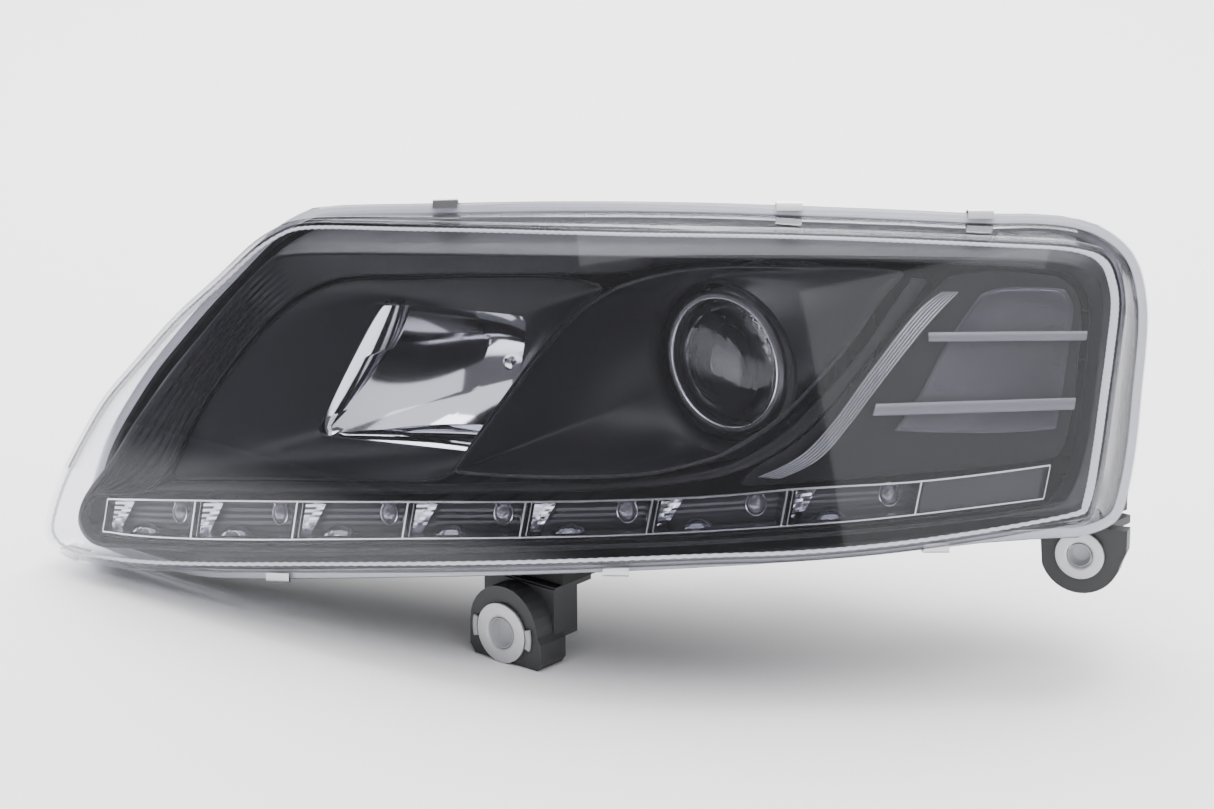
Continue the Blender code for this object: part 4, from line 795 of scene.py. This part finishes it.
def drl_rails():
    """Polished rim of the bar and the thin walls between its cells."""
    point = drl_lines()

    def bar(name, path, width, front, back, shade):
        """A strip of even width, with its front edges eased."""
        sections = []
        path = np.array(path, float)
        along = np.gradient(path, axis=0)
        along /= np.linalg.norm(along, axis=1)[:, None]
        side = np.stack((-along[:, 1], along[:, 0]), axis=1)
        shape = ((-1, back), (-1, front + 0.5), (-0.6, front), (0.6, front), (1, front + 0.5), (1, back))
        for centre, across in zip(path, side):
            section = [on_face([centre + across * offset * width / 2], depth)[0] for offset, depth in shape]
            sections.append(section)
        loft(name, sections, shade, "housing", (), "vacuum_chrome", caps=True, smooth_angle=50)

    us = np.linspace(CELL_ENDS[0], CELL_ENDS[-1], 120)
    bar("drl_top_rail", [point(u, 0.975) for u in us], 1.5, 10.2, 13.0, RAIL)
    bar("drl_bottom_rail", [point(u, 0.025) for u in us], 1.3, 10.2, 13.0, RAIL)
    shares = np.linspace(0.04, 0.96, 8)
    for k, u in enumerate(CELL_ENDS):
        bar(f"drl_divider_{k}", [point(u, s) for s in shares], 1.4 if 0 < k < 8 else 0.9, 10.4, 20.0, RAIL)
        if 0 < k < 7:
            bar(f"drl_slat_{k}", [point(u + 3.4, s) for s in shares], 0.8, 12.5, 24.0, RAIL)
    bar("drl_lower_strip", [point(u, -0.09) for u in us], 1.6, 15.0, 18.0, SATIN_BLACK)


def oval(radius, height, steps=40):
    """A ring a little taller than it is wide."""
    angles = np.linspace(0, 2 * math.pi, steps, endpoint=False)
    return [(radius * math.cos(a), OPTIC_STRETCH * radius * math.sin(a), height) for a in angles]


def optic_dome():
    """Rows of the dimpled dome, closed at its crown and carried down into the floor."""
    rows = [oval(0.02, DOME_RISE)]
    for t in np.linspace(0, 1, 12)[1:]:
        ring = oval(DOME_RADIUS * math.sin(t * math.pi / 2), DOME_RISE * math.cos(t * math.pi / 2))
        rows.append([(x, y, z + 0.22 * math.sin(x * 4.2) * math.sin(y * 4.2)) for x, y, z in ring])
    rows.append([(x, y, -1.5) for x, y, _ in rows[-1]])
    return rows


def drl_optics():
    """Each cell's moulded optic: a dimpled dome in a bright collar."""
    point = drl_lines()
    collar = [oval(r, z) for r, z in ((5.3, -1.4), (5.3, 0.4), (5.6, 0.9), (6.1, 0.7), (6.2, 0.2), (6.2,
                                                                                                    -1.4))]
    for number, middle in enumerate(DRL_OPTICS, 1):
        u = middle + 2.0
        base = on_face([point(u, 0.66)], OPTIC_DEPTH)[0]
        along = on_face([point(u + 1, 0.66)], OPTIC_DEPTH)[0] - base
        up = on_face([point(u, 0.70)], OPTIC_DEPTH)[0] - base
        turn = Vector(np.cross(along, up)).to_track_quat("Z", "Y").to_matrix().to_4x4()
        for name, rows, shade, replaced in (("dome", optic_dome(), OPTIC, [f"drl_optic_{number}"]),
                                            ("collar", collar, RAIL, ())):
            bm = bmesh.new()
            net(bm, rows, caps=name == "dome", across=name == "collar")
            bmesh.ops.transform(bm, matrix=Matrix.Translation(Vector(base)) @ turn, verts=bm.verts)
            finish_piece(f"drl_{name}_{number}", bm, shade, "housing", replaced, None, 35)


# ------------------------ high beam
def high_beam_reflector():
    """Bright paraboloid with flat upper and lower walls, pressed in upright bands with fine seams."""
    hx, hz = HIGH_BEAM
    rim = leaning(rounded_rectangle(*HIGH_RIM, 60, 80))
    spread = np.hypot(rim[:, 0] - hx, rim[:, 1] - hz)
    front = high_rim_y(rim[:, 0], rim[:, 1]) + 5.0
    seams = np.array((-34.0, -12.0, 14.0, 34.0))
    rows = [np.stack((rim[:, 0], front, rim[:, 1]), axis=1)]
    for share in np.linspace(0.985, 0.2, 56):
        flat = np.array((hx, hz)) + (rim - np.array((hx, hz))) * share
        circle = np.array((hx, hz)) + (rim - np.array((hx, hz))) / spread[:, None] * share * 52.0
        round_share = min(1.0, (1 - share) * 1.45)
        loop = flat * (1 - round_share) + circle * round_share
        dx, dz = loop[:, 0] - hx, loop[:, 1] - hz
        r = np.hypot(dx, dz)
        bow = dx + 0.004 * dz**2
        band = np.searchsorted(seams, bow)
        tilt = np.array((0.05, -0.05, 0.03, -0.04, 0.05))[band] * (bow - np.array((-48, -23, 1, 24,
                                                                                   46))[band])
        depth = np.maximum(HIGH_VERTEX_Y - r**2 / (4 * HIGH_FOCAL) + tilt, front + 3.0)
        rows.append(np.stack((loop[:, 0], depth, loop[:, 1]), axis=1))
    loft("high_beam_reflector_fine", rows, CHROME, "carrier", ["high_beam_reflector"], "vacuum_chrome",
         OUT, 1.6,
         smooth_angle=30)


def bulb(name, node, body, axis, base_y, nose):
    """Halogen bulb: glass capsule, bright tip, metal base and terminal block."""
    tip, crown = base_y - nose, np.linspace(0.15, math.pi / 2, 8)
    glass = [(0, tip + 1.2)] + [(5.2 * math.sin(a), tip + 6 - 4.8 * math.cos(a)) for a in crown]
    glass += [(5.2, base_y - 8), (4.0, base_y - 6), (0, base_y - 6)]
    cap = [(0, tip + 0.2), (4.0, tip + 1.6), (5.5, tip + 5.0), (5.5, tip + 10), (5.3, tip + 10), (5.3,
                                                                                                  tip + 5.6),
           (3.6, tip + 2.2), (0, tip + 0.9)]
    base = [(0, base_y - 5.6), (7.5, base_y - 5.6), (7.5, base_y), (16, base_y), (16, base_y + 2.5),
            (6.5, base_y + 2.5), (6.5, base_y + 14), (0, base_y + 14)]
    turned(name + "_capsule", glass, axis, BULB_GLASS, body, [node], "lens_glass", 48, radius=0.4)
    turned(name + "_tip", cap, axis, RAIL, body, (), "lens_glass", 48, radius=0.2)
    turned(name + "_base", base, axis, CLIP_STEEL, body, (), "lens_glass", 64, radius=0.4)


# ------------------------ projector
def projector():
    """Clamping ring with a bright bead, thick plano-convex glass and the ellipsoidal bowl behind it."""
    y, lip = RING_FRONT_Y, GLASS_RADIUS + 0.4
    ring = [(RING_RADIUS, y + 1.6), (RING_RADIUS, y + 9), (39.2, y + 9), (39.2, y + 5.5), (lip, y + 5),
            (lip, y + 1.6), (38.6, y + 0.2), (40.6, y)]
    bead = [(38.1, y + 1.5), (38.9, y + 0.15), (38.2, y - 0.1), (37.7, y + 1.0)]
    glass = [(GLASS_RADIUS * math.sin(a), y + 13 - 19 * math.cos(a)) for a in np.linspace(0, math.pi / 2, 26)]
    glass[0] = (0, glass[0][1])
    glass += [(GLASS_RADIUS, y + 14.4), (36.8, y + 15), (0, y + 15)]
    outside = [(51, 133), (51, 136)] + [(17 + 30.5 * math.sqrt(max(0.0, 1 - ((y1 - 136) / 62) ** 2)), y1)
                                        for y1 in np.linspace(140, BOWL_BACK_Y, 16)]
    inside = [(r - 2.0, y1) for r, y1 in outside[:1:-1]] + [(45.5, 136), (45.5, 133)]
    for name, profile, shade, nodes, slot, steps, radius in (
            ("projector_ring_fine", ring, RING_GREY, ["projector_ring"], "dark_cast_metal", 160, 0.5),
            ("projector_ring_bead", bead, RAIL, (), "dark_cast_metal", 160, 0.2),
            ("projector_glass", glass, LENS_GLASS, ["projector_lens"], "lens_glass", 128, 0.0001),
            ("projector_bowl_fine", outside + inside, BOWL, ["projector_bowl"], "dark_cast_metal", 96, 0.3)):
        turned(name, profile, PROJECTOR, shade, "projector", nodes, slot, steps, radius=radius)


# ------------------------ fixings
def bush(name, node, steps, flange_r, tube_r, bore_r, depth, place):
    """Pressed steel bush with a raised bead round its bore, and the plain plastic cup that sits in it."""
    sleeve = [(flange_r, -2.5), (flange_r, -0.4), (tube_r, -0.4), (tube_r, depth), (bore_r, depth),
              (bore_r, -2.0), (bore_r + 1.4, -2.6)]
    cup = [(0, 3.0), (bore_r - 2.6, 3.0), (bore_r - 1.5, 1.4), (bore_r - 0.9, -2.2), (bore_r - 0.3, -2.2),
           (bore_r - 0.5, 4.4), (bore_r - 2.0, 4.8), (0, 4.8)]
    turned(name + "_fine", sleeve, (0, 0), SILVER, "housing", [node], "bush_silver", steps, place, 0.5)
    turned(name + "_cup", cup, (0, 0), CUP, "housing", (), "natural_nylon", 72, place, 0.4)


def brackets():
    """The two bushes, and the clear snap ears either side of the centre one."""
    x0, back, z0 = CENTRE_BOLT
    place = Matrix.Translation((x0, back - BUSH_DEPTH, z0))
    bush("centre_bush", "centre_bush", 128, BUSH_FLANGE_R, BUSH_R, BOLT_HOLE_R, BUSH_DEPTH, place)
    for number, middle in ((1, 180), (2, 0)):
        blade = arc(0, 0, 22.2, middle - 17, middle + 17, 12) + arc(0, 0, 19.0, middle + 17, middle - 17, 12)
        plate(f"centre_snap_ear_{number}", blade, -2.2, -0.35, CUP, "housing", (), "natural_nylon", place,
              0.3)
    side = Matrix.Translation(SIDE_BOLT) @ Matrix.Rotation(SIDE_TURN, 4, "Z")
    bush("side_bush", "side_bush", 112, 14.5, 10.0, 7.5, 9.5, side)


def lens_clip(name, u, v_edge, side):
    """Bent spring-steel clip over the two flanges, with soft edges."""
    outer, tip, sheet, front, back = 1.7, -4.0, 0.8, -1.3, 13.0
    path = rounded([(tip, front), (outer, front), (outer, back), (tip, back)], 1.6)
    inner = rounded([(tip, front + sheet), (outer - sheet, front + sheet), (outer - sheet, back - sheet),
                     (tip, back - sheet)], 0.9)
    section = np.array(path + inner[::-1])
    rows = []
    for du in (-7.5, -7.2, -2.6, -1.6, 1.6, 2.6, 7.2, 7.5):
        points = on_seam([(u + du, v_edge + side * dv) for dv, _ in section])
        rows.append(points - np.outer(section[:, 1], OUT))
    loft(name + "_fine", rows, CLIP_STEEL, "housing", [name], "clip_steel", caps=True, smooth_angle=35)


# ------------------------ back of the lamp
def grip_lobes(count, depth, rim):
    """Radii that give a turned rim its finger flutes."""
    def lobes(angles, r):
        return 1 - (depth / rim) * (np.cos(angles * count) > 0.55) if r > rim - 1.5 else np.ones(len(angles))
    return lobes


def port_cap(name, axis, neck_r, neck_y):
    """Push-on dust cap: fluted rim, stepped crown and a rounded grip bar."""
    skirt = neck_r + 2.2
    rim, crown, step = skirt + 2.0, neck_y + 4.0, neck_y + 3.2
    shell = [(0, crown), (neck_r * 0.45, crown), (neck_r * 0.5, step), (neck_r * 0.72, step),
             (neck_r * 0.76, crown),
             (neck_r - 4, crown), (rim, neck_y + 3.0), (rim, neck_y - 11), (skirt, neck_y - 11),
             (skirt, neck_y + 1.5), (0, neck_y + 1.5)]
    seal = [(neck_r + 0.4, neck_y - 7), (skirt - 0.4, neck_y - 7), (skirt - 0.4, neck_y - 3),
            (neck_r + 0.4, neck_y - 3)]
    turned(name + "_fine", shell, axis, CAP_BLACK, name, [name], "housing_black", 160, radius=0.8,
           lobes=grip_lobes(36, 0.7, rim))
    centre, size = np.array(axis), np.array((neck_r * 0.65, 3.4))
    corners = [centre + size * corner for corner in ((-1, -1), (-1, 1), (1, 1), (1, -1))]
    bar = np.array(rounded(corners, 2.5, closed=True))
    rows = []
    for inner, y in ((-0.8, 3.6), (0.0, 5.0), (0.2, 12.0), (0.6, 13.2), (1.6, 13.5)):
        ring = (bar - centre) * (size - inner * np.array((1, 0.8))) / size + centre
        rows.append([(x, neck_y + y, z) for x, z in ring])
    loft(name + "_grip", rows, CAP_BLACK, name, (), "housing_black", caps=True, smooth_angle=45)
    turned(name + "_seal_fine", seal, axis, RUBBER, name, [name + "_seal"], "seal_rubber", 96, radius=0.6)


def rear_fittings():
    """Levelling motor and the two adjusters' knobs, with grip flutes."""
    motor = [(6, 204.4), (22, 204.4), (22, 214), (20, 216), (20, 236), (9.6, 236), (9.6, 230), (7, 230),
             (7, 226),
             (6, 226)]
    turned("levelling_motor_fine", motor, PUSHROD, HOUSING_BLACK, "housing", ["levelling_motor"],
           "housing_black",
           96, radius=0.8, lobes=grip_lobes(24, 0.5, 20))
    short = [(0, 231), (6.4, 231), (6.4, 237)]
    long = [(0, 131), (3, 132), (3, 200.5)]
    for name, axis, shaft, foot in (("vertical_adjuster", PUSHROD, short, 237),
                                    ("horizontal_adjuster", SIDE_SCREW, long, 200.5)):
        head = foot + (9 if name == "vertical_adjuster" else 9.5)
        knob = [(9, foot), (9, head), (7.5, head + 2), (4.6, head + 2), (4.0, head - 0.5), (0, head - 0.5)]
        turned(name + "_fine", shaft + knob, axis, NYLON, name, [name], "natural_nylon", 96, radius=0.5,
               lobes=grip_lobes(12, 0.8, 9))


# ------------------------ finishes
CLEAR = sheer("clear_cover_plastic", (0.95, 0.95, 0.97), 0.006, (0.8, 0.8, 0.86))
FROST = material("frosted_edge", (0.74, 0.74, 0.78), 0.3, grain=1200, bump=0.12, tone=0.06)
GUIDE = material("light_guide_clear", (0.42, 0.42, 0.45), 0.12, metallic=0.55, grain=300, bump=0.03, tone=0.1)
SATIN_BLACK = material("satin_black", (0.007, 0.007, 0.009), 0.4, grain=1500, bump=0.08, tone=0.2,
                       Specular_IOR_Level=0.22)
SHROUD_BLACK = material("shroud_black", (0.006, 0.006, 0.008), 0.36, grain=1500, bump=0.07, tone=0.2,
                        Specular_IOR_Level=0.25)
HOUSING_BLACK = material("moulded_black", (0.011, 0.011, 0.012), 0.5, grain=900, bump=0.25, tone=0.25,
                         Specular_IOR_Level=0.3)
CAP_BLACK = material("cap_black", (0.014, 0.014, 0.015), 0.42, grain=700, bump=0.2, tone=0.2,
                     Specular_IOR_Level=0.35)
BRACKET_GREY = material("bracket_grey", (0.035, 0.035, 0.038), 0.5, grain=1500, bump=0.3, tone=0.15)
CHROME = material("bright_reflector", (0.78, 0.78, 0.82), 0.07, metallic=1.0, grain=120, bump=0.02, tone=0.03,
                  spread=0.03)
# vacuum chrome of the daytime-light tray's walls, darkened to 0.3 against 0.78 for the same chrome elsewhere:
# painted shade
DRL_CHROME_PAINTED_SHADE = material("drl_chrome_painted_darker", (0.3, 0.3, 0.33), 0.12, metallic=1.0, grain=160, bump=0.05, tone=0.05,
                      spread=0.05)
RAIL = material("polished_rail", (0.86, 0.86, 0.9), 0.2, metallic=1.0, grain=500, bump=0.03, tone=0.03)
RING_GREY = material("ring_satin_grey", (0.10, 0.10, 0.11), 0.34, metallic=0.7, grain=1800, bump=0.15,
                     tone=0.1)
BOWL = material("bowl_metal", (0.3, 0.3, 0.32), 0.3, metallic=1.0, grain=500, bump=0.1, tone=0.1)
SILVER = material("sand_blasted_silver", (0.58, 0.58, 0.6), 0.42, metallic=0.85, grain=2600, bump=0.35,
                  tone=0.05)
CUP = material("milky_plastic", (0.42, 0.42, 0.45), 0.35, grain=400, bump=0.08, tone=0.05, spread=0.05)
CLIP_STEEL = material("spring_steel", (0.6, 0.6, 0.63), 0.3, metallic=1.0, grain=700, bump=0.08, tone=0.1)
RUBBER = material("black_rubber", (0.012, 0.012, 0.012), 0.75, grain=500, bump=0.35, tone=0.2)
NYLON = material("natural_nylon_fine", (0.68, 0.66, 0.6), 0.42, grain=350, bump=0.12, tone=0.06)
BOARD = material("lacquered_board", (0.02, 0.07, 0.04), 0.35, grain=400, bump=0.2, tone=0.3)
CAST = material("dark_cast", (0.10, 0.10, 0.11), 0.42, metallic=0.6, grain=500, bump=0.4, tone=0.15)
SMOKE = sheer("smoked_window", (0.42, 0.42, 0.47), 0.12, (0.3, 0.3, 0.34), 0.1)
BAR_SMOKE = material("smoked_bar", (0.16, 0.16, 0.18), 0.2, grain=600, bump=0.05, tone=0.1)
# floors of the daytime-light cells: chrome made near black, painted shade in the cells' recesses
DRL_FLOOR_PAINTED_SHADE = material("drl_floor_painted_shade", (0.05, 0.05, 0.058), 0.22, metallic=0.6, grain=700, bump=0.06,
                     tone=0.15)
OPTIC = material("optic_moulding", (0.25, 0.25, 0.28), 0.16, metallic=0.7, grain=900, bump=0.1, tone=0.1)
BULB_GLASS = sheer("bulb_glass", (0.9, 0.9, 0.93), 0.05, (0.8, 0.8, 0.84), 0.03)
LENS_GLASS = material("projector_lens_glass", (0.93, 0.93, 0.97), 0.02, grain=30, bump=0.0, tone=0.02,
                      spread=0.01, Transmission_Weight=1.0, IOR=1.5)

CAD_FINISHES = {
    "housing_black": HOUSING_BLACK, "satin_black_bezel": SATIN_BLACK, "dark_cast_metal": CAST,
    "clip_steel": CLIP_STEEL, "seal_rubber": RUBBER, "circuit_board": BOARD, "natural_nylon": NYLON,
    "vacuum_chrome": CHROME,
    "lens_glass": BULB_GLASS, "smoked_plastic": SMOKE, "clear_polycarbonate": CLEAR, "bush_silver": SILVER,
}


def dress_cad_nodes():
    """Every carried-over CAD node takes the fine finish of its own slot."""
    for entry in frame["record"]["subparts"]:
        node = NODES[entry["node"]]
        for holder in node.material_slots:
            holder.material = CAD_FINISHES[entry["material_slot"]]
    for name in ("centre_bracket", "side_bracket"):
        for holder in NODES[name].material_slots:
            holder.material = BRACKET_GREY


# ------------------------ assembly
add_camera()
add_studio()
dress_cad_nodes()
clear_cover()
rim_band()
cover_flange()
bezel()
high_beam_well()
projector_shroud()
ribbon("bezel_land_fine", LAND_UPPER, LAND_LOWER, 20.0, 22.0, 120, SATIN_BLACK, ["bezel_land"],
       "satin_black_bezel")
light_guide()
turn_bezel()
turn_reflector()
turn_window()
for node, upper, lower in (("turn_bar_upper", [(182, 41), (274, 42)], [(182, 35.5), (273, 36.5)]),
                           ("turn_bar_lower", [(152, 0.5), (267, 4)], [(150, -6.5), (266, -3)])):
    ribbon(node + "_fine", upper, lower, BAR_FRONT, BAR_BACK, 30, BAR_SMOKE, [node], "smoked_plastic")
drl_bar()
drl_wedges()
drl_rails()
drl_optics()
high_beam_reflector()
bulb("high_bulb", "high_beam_bulb", "carrier", HIGH_BEAM, HIGH_VERTEX_Y + 4.0, 42)
projector()
bulb("low_bulb", "low_beam_bulb", "projector", PROJECTOR, BOWL_BACK_Y + 0.5, 34)
brackets()
for number, (clip_u, clip_v) in enumerate(((-95, 119), (104, 114.3), (214, 110.2)), 1):
    lens_clip(f"top_clip_{number}", clip_u, clip_v, 1)
for number, (clip_u, clip_v) in enumerate(((-200, -106.3), (5, -96.9), (188, -83)), 1):
    lens_clip(f"bottom_clip_{number}", clip_u, clip_v, -1)
port_cap("low_beam_cap", PROJECTOR, LOW_NECK_R, LOW_NECK_Y)
port_cap("high_beam_cap", HIGH_BEAM, HIGH_NECK_R, HIGH_NECK_Y)
rear_fittings()
